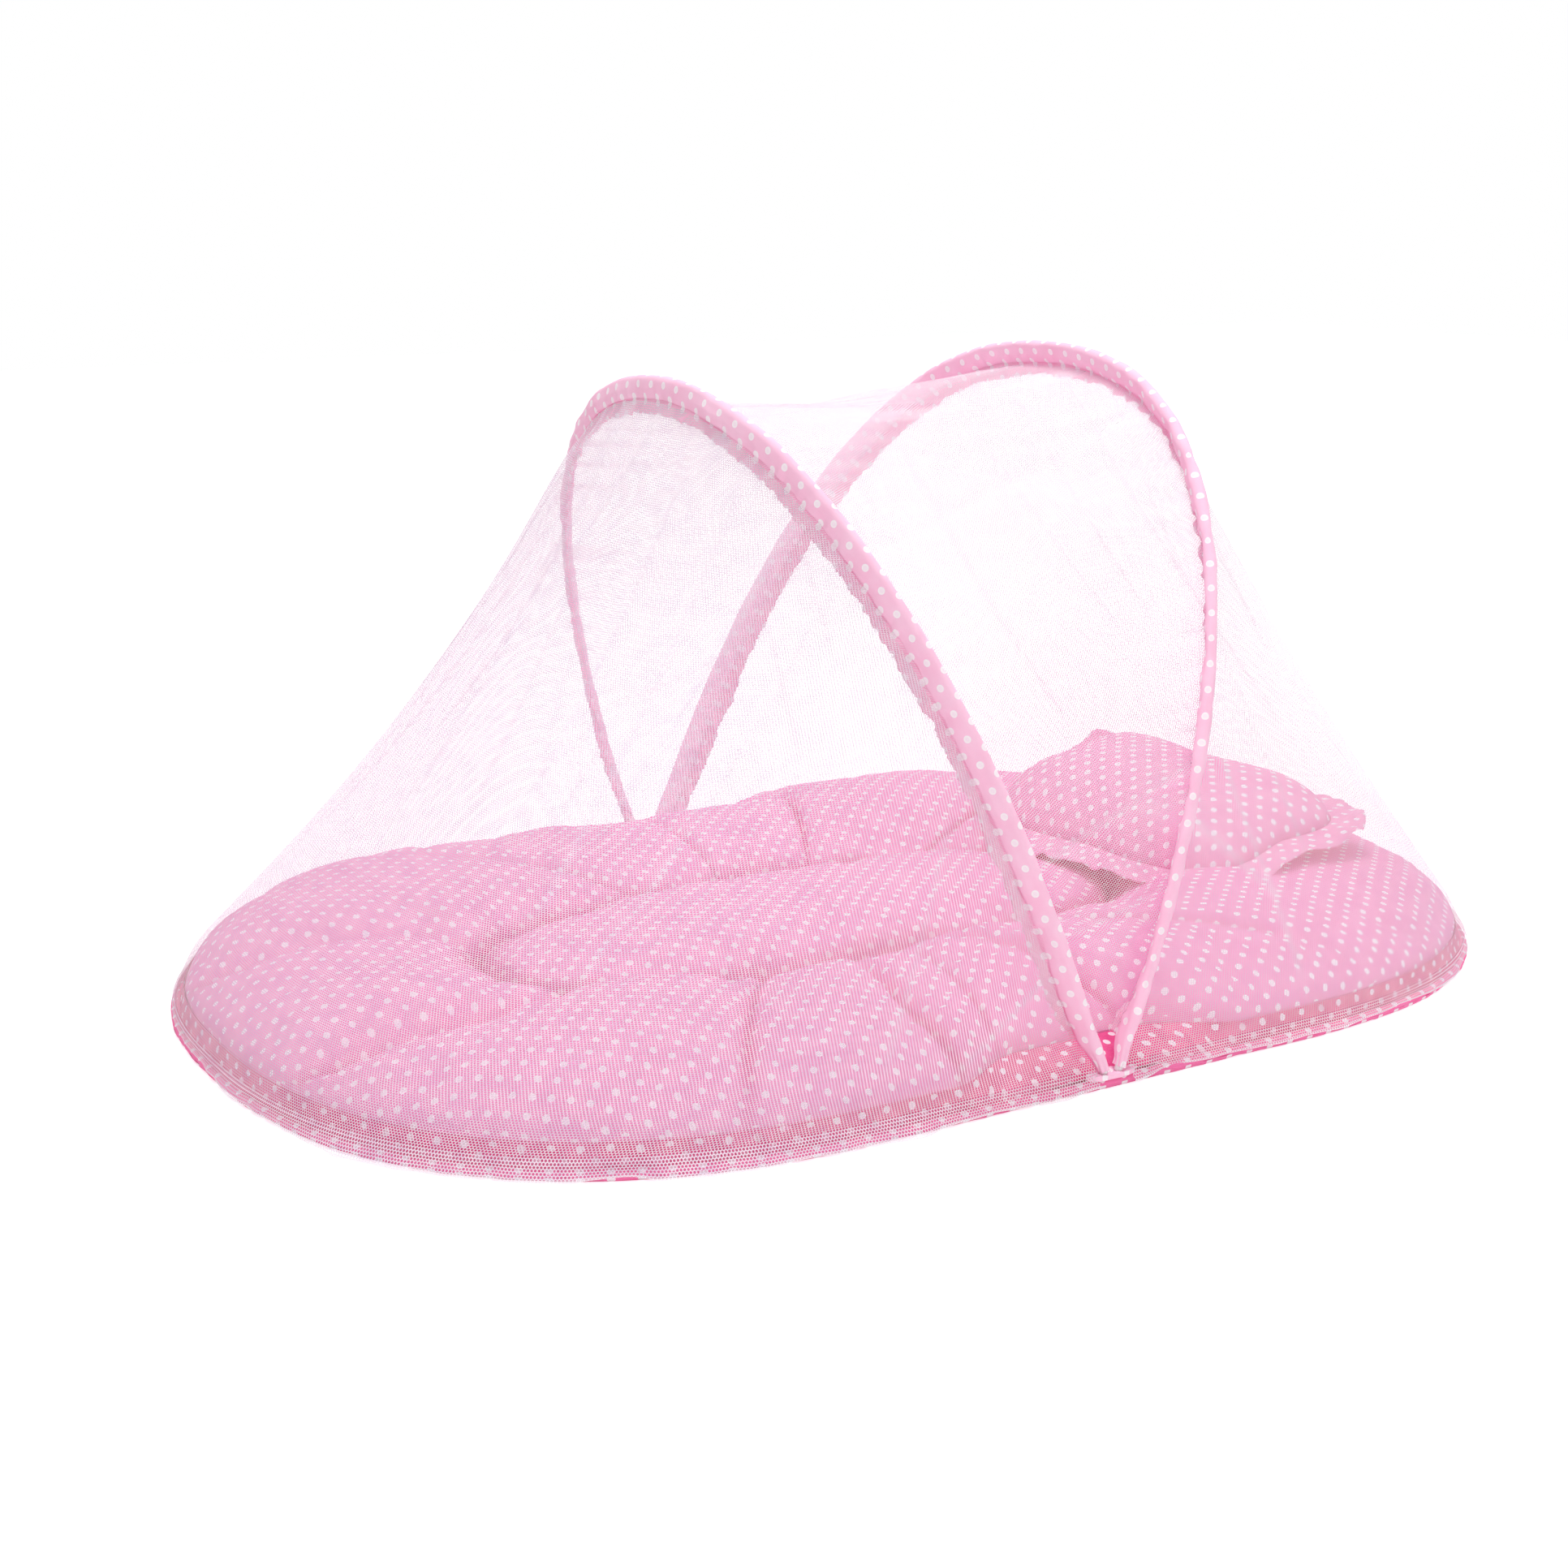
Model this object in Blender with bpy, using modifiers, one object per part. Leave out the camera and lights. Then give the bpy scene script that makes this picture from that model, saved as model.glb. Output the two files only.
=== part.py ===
# Infant bed tent: a padded mattress on a sprung base ring, under a mosquito net held by two hoops.
# Metres, +Z up, +X towards the head end, +Y away from the side with the free hem.
# The origin is on the floor under the middle of the base ring.

import math

import bmesh
import bpy
import numpy as np
from mathutils import Matrix, Vector
from mathutils.bvhtree import BVHTree

# Driving dimensions
BED_LENGTH = 1.10
BED_WIDTH = 0.72
SIDE_STRAIGHT_HALF = 0.18
END_POWER = 2.4
FIT_GAP = 0.0003
END_SPACING = 0.004

# Base ring: sprung wire in a folded binding that also holds the floor sheet
RIM_WIRE_RADIUS = 0.0015
BINDING_WALL = 0.0016
BINDING_FLAT_ANGLE = math.radians(68)
FLOOR_SHEET_THICKNESS = 0.002
FERRULE_LENGTH = 0.030
FERRULE_WALL = 0.0003
FERRULE_X = 0.10
RIM_STEPS = 64

# Strips that stand on the binding and hold the net's lower edge
HEM_TAPE_THICKNESS = 0.0016
HEM_TAPE_HEIGHT = 0.008
TAPE_FOOT_CLEARANCE = 0.006

# Hoops
FOOT_HOOP_HEIGHT = 0.5015
FOOT_HOOP_LEAN = math.radians(-18.9)
FOOT_HOOP_POWER = 2.1
HEAD_HOOP_HEIGHT = 0.526
HEAD_HOOP_LEAN = math.radians(21.9)
HEAD_HOOP_POWER = 2.3
HOOP_WIRE_RADIUS = 0.0015
HOOP_PIVOT_SPACING = 0.014
HOOP_STEPS = 40
HEAD_HOOP_FOLD = math.radians(36)
FOOT_HOOP_CLOSE = math.radians(33)
SLEEVE_WALL = 0.001
SLEEVE_EASE = 0.0017
SLEEVE_TAIL = 0.014
SLEEVE_TAIL_OPENING = 0.0012
SLEEVE_SET_BACK = 0.002
FLANGE_WIDTH = 0.012
FLANGE_THICKNESS = 0.0012
FLANGE_SET_BACK = 0.012
CAP_WALL = 0.0014
CAP_TIP = 0.002
CAP_BORE_DEPTH = 0.010

# Foot tabs that seat the wire caps on the base ring
TAB_END_MARGIN = 0.0188
TAB_SIDE_MARGIN = 0.0038
TAB_FLOOR = 0.0012
TAB_ROUNDING = 0.0008

# Net panels
NET_THICKNESS = 0.0005
NET_SEAM_OVERLAP = 0.0015
NET_CLEARANCE = 0.005
NET_REST_REACH = 0.12
NET_REST_SAMPLES = 40
NET_LEAST_EDGE_SHARES = (0.03, 0.12)
NET_STEPS_ALONG = 30
NET_STEPS_OVER_EDGE = 4
NET_STEPS_FREE = 4
NET_STEPS_RIDGE = 4
NET_SAG = 0.015
RIDGE_SAG = 0.014

# Mattress
BACKING_THICKNESS = 0.0015
MATTRESS_INSET = 0.012
MATTRESS_UNDERCUT = 0.010
MATTRESS_UNDER_BULGE = 0.3
MATTRESS_UNDER_HEIGHT = 0.35
MATTRESS_TOP = 0.074
MATTRESS_EDGE_HEIGHT = 0.026
CHANNEL_HEIGHT = 0.036
WAIST_DEPTH = 0.034
WAIST_FLAT_HALF = 0.055
WAIST_END_HALF = 0.135
PAD_CENTRE_X = -0.045
PAD_CENTRE_Y = -0.020
PAD_HALF_LENGTH = 0.285
PAD_HALF_WIDTH = 0.118
PAD_POWER = 2.6
PAD_CROWN = 0.064
PAD_SWELL = (3.0, 0.55)
PAD_RING_SHARES = (0.45, 0.75, 0.92, 1.0)
BOLSTER_CREST = 0.42
BOLSTER_INNER_SWELL = (2.6, 0.6)
BOLSTER_OUTER_SWELL = (2.4, 0.62)
BOLSTER_RING_SHARES = (0.06, 0.18, 0.42, 0.68, 0.87, 0.97, 1.0)
FOOT_FOLD_DEPTH = 0.014
FOOT_FOLD_ANGLES = (math.radians(157), math.radians(212))
FOOT_FOLD_SPREAD = math.radians(7)
CROWN_WAVE = 0.003

# Pillow
PILLOW_LENGTH = 0.312
PILLOW_WIDTH = 0.212
PILLOW_POWER = 3.6
PILLOW_CROWN = 0.046
PILLOW_BELLY = 0.010
PILLOW_EDGE = 0.003
PILLOW_DRAW_IN = 0.06
PILLOW_SWELL = (2.4, 0.62)
PILLOW_RING_SHARES = (0.35, 0.62, 0.82, 0.94, 1.0)
PILLOW_END_SPACE = 0.118
PILLOW_Y = -0.022
PILLOW_TURN = math.radians(7)
PILLOW_TILT = math.radians(-5)
BORDER_WIDTH = 0.022
BORDER_THICKNESS = 0.0016
BORDER_RUFFLE = 0.0016
BORDER_WAVES = 14
PILLOW_STEPS = 56

# Zip slider and its pull, parked by the far foot
SLIDER_LENGTH = 0.012
SLIDER_WALL = 0.0015
SLIDER_WEB = 0.0008
SLIDER_ROUNDING = 0.0005
SLIDER_SET_BACK = 0.011
EAR_THICKNESS = 0.0008
PULL_LENGTH = 0.020
PULL_WIDTH = 0.0040
PULL_THICKNESS = 0.0012
PULL_ROUNDING = 0.0003
PULL_KNUCKLE_WALL = 0.0007
POST_RADIUS = 0.0008

# Radii, lengths and heights that follow from the sizes above
BINDING_RADIUS = RIM_WIRE_RADIUS + FERRULE_WALL + 2 * FIT_GAP + BINDING_WALL
CAP_RADIUS = HOOP_WIRE_RADIUS + FIT_GAP + CAP_WALL
CAP_LENGTH = CAP_TIP + CAP_BORE_DEPTH
SLEEVE_ROUND_RADIUS = HOOP_WIRE_RADIUS + FIT_GAP + SLEEVE_EASE + SLEEVE_WALL
SLEEVE_TAIL_HALF = SLEEVE_WALL + SLEEVE_TAIL_OPENING / 2
SLEEVE_START = CAP_LENGTH + SLEEVE_SET_BACK
FLANGE_START = SLEEVE_START + FLANGE_SET_BACK
SEAM_DEPTH = SLEEVE_EASE + SLEEVE_TAIL + FIT_GAP
TAB_LENGTH = HOOP_PIVOT_SPACING + 2 * (CAP_RADIUS + TAB_END_MARGIN)
TAB_WIDTH = 2 * (CAP_RADIUS + TAB_SIDE_MARGIN)
SLIDER_WIDTH = HEM_TAPE_THICKNESS + 2 * (FIT_GAP + SLIDER_WALL)
PULL_KNUCKLE_RADIUS = POST_RADIUS + FIT_GAP + PULL_KNUCKLE_WALL
RIM_HEIGHT = BINDING_RADIUS * math.sin(BINDING_FLAT_ANGLE)
BINDING_TOP = RIM_HEIGHT + BINDING_RADIUS
SHEET_TOP = RIM_HEIGHT + FLOOR_SHEET_THICKNESS / 2
BACKING_BOTTOM = SHEET_TOP + FIT_GAP
MATTRESS_BOTTOM = BACKING_BOTTOM + BACKING_THICKNESS + FIT_GAP
TAB_BOTTOM = BINDING_TOP + FIT_GAP
PIVOT_HEIGHT = TAB_BOTTOM + TAB_FLOOR + FIT_GAP + CAP_RADIUS
TAPE_BOTTOM = BINDING_TOP + FIT_GAP
TAPE_TOP = TAPE_BOTTOM + HEM_TAPE_HEIGHT
NET_FOOT_HEIGHT = TAPE_TOP + FIT_GAP
RIM_HALF_LENGTH = BED_LENGTH / 2 - BINDING_RADIUS
RIM_HALF_WIDTH = BED_WIDTH / 2 - BINDING_RADIUS
TAPE_START_X = TAB_LENGTH / 2 + TAPE_FOOT_CLEARANCE
SLIDER_PARK_X = -TAPE_START_X - SLIDER_SET_BACK - SLIDER_LENGTH / 2
PILLOW_X = BED_LENGTH / 2 - PILLOW_END_SPACE - PILLOW_WIDTH / 2

PINK = (0.93, 0.37, 0.58, 1)
DEEP_PINK = (0.90, 0.26, 0.50, 1)
PALE_PINK = (0.95, 0.55, 0.72, 1)
NET_WHITE = (0.93, 0.90, 0.95, 1)
STEEL = (0.62, 0.63, 0.66, 1)
WHITE_PLASTIC = (0.88, 0.88, 0.88, 1)


def clear_scene():
    for obj in list(bpy.data.objects):
        bpy.data.objects.remove(obj)


def new_collection(name):
    collection = bpy.data.collections.new(name)
    bpy.context.scene.collection.children.link(collection)
    return collection


def make_material(name, colour, roughness, metallic=0.0):
    material = bpy.data.materials.new(name)
    material.use_nodes = True
    shader = material.node_tree.nodes["Principled BSDF"]
    shader.inputs["Base Color"].default_value = colour
    shader.inputs["Roughness"].default_value = roughness
    shader.inputs["Metallic"].default_value = metallic
    material.diffuse_color = colour
    return material


def smooth(obj):
    obj.data.shade_smooth()
    obj.data.set_sharp_from_angle(angle=math.radians(40))


def lengths_along(points):
    """How far along a route each of its points lies."""
    steps = np.linalg.norm(np.diff(points, axis=0), axis=1)
    return np.concatenate([[0.0], np.cumsum(steps)])


def point_at(points, along, distance):
    """The place at a distance along a route, in as many dimensions as the route has."""
    return np.array([np.interp(distance, along, column) for column in points.T])


def even_points(points, count):
    """The same route with its points at even distances along it."""
    along = lengths_along(points)
    return point_at(points, along, np.linspace(0, along[-1], count + 1)).T


def power_curve(angle, half_x, half_y, power):
    """A point of a superellipse: the higher the power, the squarer its corners."""
    c, s = math.cos(angle), math.sin(angle)
    x = math.copysign(abs(c) ** (2 / power), c) * half_x
    y = math.copysign(abs(s) ** (2 / power), s) * half_y
    return x, y


def rim_outline(half_length, half_width):
    """Straight long sides joined by rounded ends, anticlockwise from the middle of the head end."""
    reach = half_length - SIDE_STRAIGHT_HALF
    quarter = [power_curve(a, reach, half_width, END_POWER) for a in np.linspace(0, math.pi / 2, 400)]
    quarter = np.array(quarter) + [SIDE_STRAIGHT_HALF, 0]
    quarter = np.vstack([quarter, [0, half_width]])
    first = even_points(quarter, RIM_STEPS // 4)
    second = first[-2::-1] * [-1, 1]
    third = first[1:] * [-1, -1]
    fourth = first[-2:0:-1] * [1, -1]
    return np.vstack([first, second, third, fourth])


def offset_inwards(outline, distance):
    """A closed anticlockwise outline moved inwards."""
    along = np.roll(outline, -1, axis=0) - np.roll(outline, 1, axis=0)
    along /= np.linalg.norm(along, axis=1)[:, None]
    inwards = np.stack([-along[:, 1], along[:, 0]], axis=1)
    return outline + inwards * distance


def place_curve(collection, name, points, closed, material):
    curve = bpy.data.curves.new(name, "CURVE")
    curve.dimensions = "3D"
    curve.twist_mode = "Z_UP"
    spline = curve.splines.new("POLY")
    spline.points.add(len(points) - 1)
    for target, point in zip(spline.points, points):
        target.co = (point[0], point[1], point[2], 1)
    spline.use_cyclic_u = closed
    obj = bpy.data.objects.new(name, curve)
    collection.objects.link(obj)
    if material:
        curve.materials.append(material)
    return obj


def wire_curve(name, points, radius, material):
    """A round wire with closed ends."""
    obj = place_curve(PARTS, name, points, False, material)
    obj.data.bevel_depth = radius
    obj.data.bevel_resolution = 2
    obj.data.use_fill_caps = True
    obj.data.splines[0].use_smooth = True
    return obj


def section_guide(name, outline):
    """A flat closed section, +X away from the middle of what it is swept round."""
    guide = place_curve(GUIDES, name, [(x, y, 0) for x, y in outline], True, None)
    guide.data.dimensions = "2D"
    guide.hide_render = True
    guide.display_type = "WIRE"
    return guide


def swept(name, points, closed, section, material, caps=True):
    """A strip or sleeve of constant section along a flat route."""
    obj = place_curve(PARTS, name, points, closed, material)
    obj.data.bevel_mode = "OBJECT"
    obj.data.bevel_object = section
    obj.data.use_fill_caps = caps and not closed
    return obj


def rectangle(x_low, x_high, y_low, y_high):
    return [(x_low, y_low), (x_low, y_high), (x_high, y_high), (x_high, y_low)]


def flat_plate(name, outline, z_bottom, thickness, material):
    """A flat sheet cut to an outline."""
    middle = z_bottom + thickness / 2
    obj = place_curve(PARTS, name, [(x, y, 0) for x, y in outline], True, material)
    obj.data.dimensions = "2D"
    obj.data.fill_mode = "BOTH"
    obj.data.extrude = thickness / 2
    obj.location.z = middle
    return obj


def mesh_object(name, bm, material):
    mesh = bpy.data.meshes.new(name)
    bmesh.ops.recalc_face_normals(bm, faces=bm.faces)
    bm.to_mesh(mesh)
    bm.free()
    mesh.materials.append(material)
    obj = bpy.data.objects.new(name, mesh)
    PARTS.objects.link(obj)
    return obj


def ringed_solid(name, rings, material):
    """A closed body lofted through rings of equal count, from the pole of its top to the pole below."""
    bm = bmesh.new()
    made = [[bm.verts.new(p) for p in ring] for ring in rings]
    for inner, outer in zip(made, made[1:]):
        count = max(len(inner), len(outer))
        for i in range(count):
            inner_a, inner_b = inner[i % len(inner)], inner[(i + 1) % len(inner)]
            outer_a, outer_b = outer[i % len(outer)], outer[(i + 1) % len(outer)]
            bm.faces.new(list(dict.fromkeys([inner_a, outer_a, outer_b, inner_b])))
    obj = mesh_object(name, bm, material)
    smooth(obj)
    return obj


def rounded_box(name, size, rounding, material):
    bm = bmesh.new()
    bmesh.ops.create_cube(bm, size=1)
    bmesh.ops.scale(bm, vec=size, verts=bm.verts)
    obj = mesh_object(name, bm, material)
    bevel = obj.modifiers.new("rounding", "BEVEL")
    bevel.width = rounding
    bevel.segments = 2
    return obj


def cutter_object(name, bm):
    mesh = bpy.data.meshes.new(name)
    bm.to_mesh(mesh)
    bm.free()
    obj = bpy.data.objects.new(name, mesh)
    CUTTERS.objects.link(obj)
    obj.hide_render = True
    obj.display_type = "WIRE"
    return obj


def cutter_box(name, size):
    bm = bmesh.new()
    bmesh.ops.create_cube(bm, size=1)
    bmesh.ops.scale(bm, vec=size, verts=bm.verts)
    return cutter_object(name, bm)


def cutter_rod(name, radius, length):
    """An upright cylinder about its own middle."""
    bm = bmesh.new()
    bmesh.ops.create_cone(bm, cap_ends=True, segments=16, radius1=radius, radius2=radius, depth=length)
    return cutter_object(name, bm)


def cutter_ball(name, radius):
    bm = bmesh.new()
    bmesh.ops.create_uvsphere(bm, u_segments=16, v_segments=10, radius=radius)
    return cutter_object(name, bm)


def boolean(obj, other, operation):
    step = obj.modifiers.new(other.name, "BOOLEAN")
    step.operation = operation
    step.solver = "EXACT"
    step.object = other


# Base ring


def rim_route(z, first_x=None, towards_head=True):
    """Places along the binding's middle line: all round, or one end of the bed between the foot tabs."""
    outline = RIM_OUTLINE
    if first_x is None:
        return [(x, y, z) for x, y in outline]
    side = 1 if towards_head else -1
    end = [(x, y) for x, y in outline if x * side > first_x + END_SPACING]
    end.sort(key=lambda p: math.atan2(p[1] * side, p[0] * side))
    start = (side * first_x, -side * RIM_HALF_WIDTH)
    finish = (side * first_x, side * RIM_HALF_WIDTH)
    return [(x, y, z) for x, y in [start] + end + [finish]]


def binding_section():
    """A round fold with a flat underside and a mouth on its inner side for the floor sheet."""
    mouth = FLOOR_SHEET_THICKNESS / 2 + FIT_GAP
    inner_radius = BINDING_RADIUS - BINDING_WALL
    outer_end = math.degrees(math.asin(mouth / BINDING_RADIUS))
    inner_end = math.degrees(math.asin(mouth / inner_radius))
    flat = math.degrees(BINDING_FLAT_ANGLE)
    quarter = [180 - outer_end, 180 - flat, flat, flat / 2]
    outer = quarter + [0] + [-a for a in quarter[::-1]]
    inner = np.linspace(inner_end - 180, 180 - inner_end, 7)
    points = [(BINDING_RADIUS, a) for a in outer] + [(inner_radius, a) for a in inner]
    return [(r * math.cos(math.radians(a)), r * math.sin(math.radians(a))) for r, a in points]


def build_base():
    guide = section_guide("binding_section", binding_section())
    swept("base_rim_binding", rim_route(RIM_HEIGHT), True, guide, BASE_FABRIC)

    build_rim_wire()

    ends = [(FERRULE_X + s * FERRULE_LENGTH / 2, RIM_HALF_WIDTH, RIM_HEIGHT) for s in (-1, 1)]
    ferrule = place_curve(PARTS, "base_rim_ferrule", ends, False, STEEL_WIRE)
    ferrule.data.bevel_depth = RIM_WIRE_RADIUS + FIT_GAP + FERRULE_WALL
    ferrule.data.bevel_resolution = 2
    wall = ferrule.modifiers.new("wall", "SOLIDIFY")
    wall.thickness = FERRULE_WALL
    wall.offset = -1

    sheet_inset = RIM_WIRE_RADIUS + 2 * FIT_GAP + FERRULE_WALL
    flat_plate(
        "floor_sheet",
        offset_inwards(RIM_OUTLINE, sheet_inset),
        SHEET_TOP - FLOOR_SHEET_THICKNESS,
        FLOOR_SHEET_THICKNESS,
        BASE_FABRIC,
    )

    half = HEM_TAPE_THICKNESS / 2
    hem = section_guide("hem_tape_section", rectangle(-half, half, 0, HEM_TAPE_HEIGHT))
    swept("net_hem_tape", rim_route(TAPE_BOTTOM, TAPE_START_X, True), False, hem, WHITE_TAPE)


def build_rim_wire():
    """One length of wire round the bed, whose ends meet inside the ferrule."""
    route = rim_route(RIM_HEIGHT)
    near_side = sorted(p for p in route if p[1] <= 0)
    far_side = sorted((p for p in route if p[1] > 0), reverse=True)
    ahead = [p for p in far_side if p[0] < FERRULE_X - END_SPACING]
    behind = [p for p in far_side if p[0] > FERRULE_X + END_SPACING]
    around = ahead + near_side + behind
    start = (FERRULE_X - FIT_GAP / 2, RIM_HALF_WIDTH, RIM_HEIGHT)
    finish = (FERRULE_X + FIT_GAP / 2, RIM_HALF_WIDTH, RIM_HEIGHT)
    wire_curve("base_rim_wire", [start] + around + [finish], RIM_WIRE_RADIUS, STEEL_WIRE)


def build_zip():
    """Two tapes round the foot end and a slider that holds them together by the far foot."""
    half = HEM_TAPE_THICKNESS / 2
    tape_height = (HEM_TAPE_HEIGHT - SLIDER_WEB - 2 * FIT_GAP) / 2
    upper_bottom = TAPE_TOP - tape_height
    section = section_guide("zip_tape_section", rectangle(-half, half, 0, tape_height))
    swept("zip_base_tape", rim_route(TAPE_BOTTOM, TAPE_START_X, False), False, section, WHITE_TAPE)
    swept("zip_net_tape", rim_route(upper_bottom, TAPE_START_X, False), False, section, WHITE_TAPE)

    height = HEM_TAPE_HEIGHT - 2 * FIT_GAP
    middle = Vector((SLIDER_PARK_X, RIM_HALF_WIDTH, TAPE_BOTTOM + HEM_TAPE_HEIGHT / 2))
    slider = rounded_box("zip_slider", (SLIDER_LENGTH, SLIDER_WIDTH, height), SLIDER_ROUNDING, ZIP_ENAMEL)
    slider.location = middle
    slot_width = HEM_TAPE_THICKNESS + 2 * FIT_GAP
    for side in (-1, 1):
        slot = cutter_box(f"slider_slot_{side}", (SLIDER_LENGTH * 2, slot_width, height))
        slot.location = middle + Vector((0, 0, side * (SLIDER_WEB + height) / 2))
        boolean(slider, slot, "DIFFERENCE")
    pin_centre = middle + Vector((0, SLIDER_WIDTH / 2 + FIT_GAP + PULL_KNUCKLE_RADIUS, 0))
    ear_reach = FIT_GAP + 2 * PULL_KNUCKLE_RADIUS + SLIDER_WIDTH / 4
    ear_height = PULL_WIDTH / 2 + FIT_GAP
    for side in (-1, 1):
        ear = cutter_box(f"slider_ear_{side}", (2 * PULL_KNUCKLE_RADIUS, ear_reach, EAR_THICKNESS))
        ear_middle = side * (ear_height + EAR_THICKNESS / 2)
        ear.location = middle + Vector((0, SLIDER_WIDTH / 4 + ear_reach / 2, ear_middle))
        boolean(slider, ear, "UNION")
    pin = cutter_rod("slider_pin", POST_RADIUS, 2 * ear_height + EAR_THICKNESS)
    pin.location = pin_centre
    boolean(slider, pin, "UNION")
    return pin_centre


def build_pull(pin_centre):
    """A flat tag that swings on the slider's pin."""
    pull = rounded_box("zip_pull", (PULL_LENGTH, PULL_THICKNESS, PULL_WIDTH), PULL_ROUNDING, ZIP_ENAMEL)
    for vertex in pull.data.vertices:
        vertex.co.x -= PULL_LENGTH / 2
    pull.location = pin_centre
    knuckle = cutter_rod("pull_knuckle", PULL_KNUCKLE_RADIUS, PULL_WIDTH)
    knuckle.location = pin_centre
    boolean(pull, knuckle, "UNION")
    bore = cutter_rod("pull_bore", POST_RADIUS + FIT_GAP, PULL_WIDTH * 2)
    bore.location = pin_centre
    boolean(pull, bore, "DIFFERENCE")


# Foot tabs


def build_foot_tab(name, side):
    """A folded cloth tab on the ring, hollowed for each hoop's wire cap and for the cap's turn."""
    height = PIVOT_HEIGHT - TAB_BOTTOM
    tab = rounded_box(name, (TAB_LENGTH, TAB_WIDTH, height), TAB_ROUNDING, SLEEVE_FABRIC)
    tab.location = (0, side * RIM_HALF_WIDTH, TAB_BOTTOM + height / 2)
    head_folded = HEAD_HOOP_LEAN + HEAD_HOOP_FOLD
    foot_folded = FOOT_HOOP_LEAN + HEAD_HOOP_FOLD + FOOT_HOOP_CLOSE
    for hoop_side, folded in ((-1, foot_folded), (1, head_folded)):
        pivot = Vector((hoop_side * HOOP_PIVOT_SPACING / 2, side * RIM_HALF_WIDTH, PIVOT_HEIGHT))
        dimple = cutter_ball(f"{name}_dimple_{hoop_side}", CAP_RADIUS + FIT_GAP)
        dimple.location = pivot
        boolean(tab, dimple, "DIFFERENCE")
        groove = cutter_rod(f"{name}_groove_{hoop_side}", CAP_RADIUS + 2 * FIT_GAP, CAP_LENGTH)
        groove.location = pivot + Vector((math.sin(folded), 0, math.cos(folded))) * CAP_LENGTH / 2
        groove.rotation_euler.y = folded
        boolean(tab, groove, "DIFFERENCE")


# Hoops


class Hoop:
    """One wire hoop, drawn flat in its own frame: +X to the far side, +Y up the hoop, +Z to the head end."""

    def __init__(self, name, side, height, lean, power):
        self.name = name
        self.side = side
        self.height = height
        self.power = power
        self.frame = Matrix(
            (
                (0, math.sin(lean), math.cos(lean), side * HOOP_PIVOT_SPACING / 2),
                (1, 0, 0, 0),
                (0, math.cos(lean), -math.sin(lean), PIVOT_HEIGHT),
                (0, 0, 0, 1),
            )
        )
        dense = [power_curve(a, RIM_HALF_WIDTH, height, power) for a in np.linspace(0, math.pi, 900)]
        self.route = even_points(np.array(dense), HOOP_STEPS)
        self.along = lengths_along(self.route)

    def point(self, distance):
        return Vector((*point_at(self.route, self.along, distance), 0))

    def trimmed(self, gap):
        """The wire's middle line from far foot to near foot, less a length at each foot."""
        start, finish = gap, self.along[-1] - gap
        inside = [d for d in self.along if start + END_SPACING < d < finish - END_SPACING]
        return [self.point(d) for d in [start] + inside + [finish]]

    def seam(self, share, face):
        """A point on the seam that a net panel hangs from, on one face of the flange."""
        distance = self.along[-1] - FLANGE_START - share * (self.along[-1] - 2 * FLANGE_START)
        here, there = [self.point(distance + step) for step in (-END_SPACING, END_SPACING)]
        ahead = (there - here).normalized()
        inwards = Vector((-ahead.y, ahead.x, 0))
        offset = face * (FLANGE_THICKNESS / 2 + FIT_GAP + NET_THICKNESS / 2)
        local = (here + there) / 2 + inwards * (SEAM_DEPTH + NET_SEAM_OVERLAP) + Vector((0, 0, offset))
        return self.frame @ local


def sleeve_section():
    """A teardrop: round over the wire, narrowing to the seam on the hoop's inner side."""
    turned = [math.radians(a) for a in (-105, -60, -20, 20, 60, 105)]
    points = [(SLEEVE_ROUND_RADIUS * math.cos(a), SLEEVE_ROUND_RADIUS * math.sin(a)) for a in turned]
    points = [(x - SLEEVE_EASE, y) for x, y in points]
    tail = -SLEEVE_EASE - SLEEVE_TAIL
    middle = (points[-1][0] + tail) / 2
    bulge = (SLEEVE_ROUND_RADIUS + SLEEVE_TAIL_HALF) / 2
    points += [(middle, bulge), (tail, SLEEVE_TAIL_HALF), (tail, -SLEEVE_TAIL_HALF), (middle, -bulge)]
    return points[::-1]


def build_hoop(hoop, sleeve_guide, flange_guide):
    pivot = bpy.data.objects.new(hoop.name + "_pivot", None)
    PARTS.objects.link(pivot)
    pivot.matrix_world = hoop.frame

    wire = wire_curve(hoop.name + "_wire", hoop.trimmed(CAP_TIP + FIT_GAP), HOOP_WIRE_RADIUS, STEEL_WIRE)
    sleeve_route = hoop.trimmed(SLEEVE_START)
    sleeve = swept(hoop.name + "_sleeve", sleeve_route, False, sleeve_guide, SLEEVE_FABRIC, False)
    wall = sleeve.modifiers.new("wall", "SOLIDIFY")
    wall.thickness = SLEEVE_WALL
    wall.offset = -1
    flange = swept(hoop.name + "_flange", hoop.trimmed(FLANGE_START), False, flange_guide, SLEEVE_FABRIC)
    caps = [build_cap(f"{hoop.name}_{end}_cap", side) for end, side in (("near", -1), ("far", 1))]
    for piece in [wire, sleeve, flange] + caps:
        piece.parent = pivot


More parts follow.
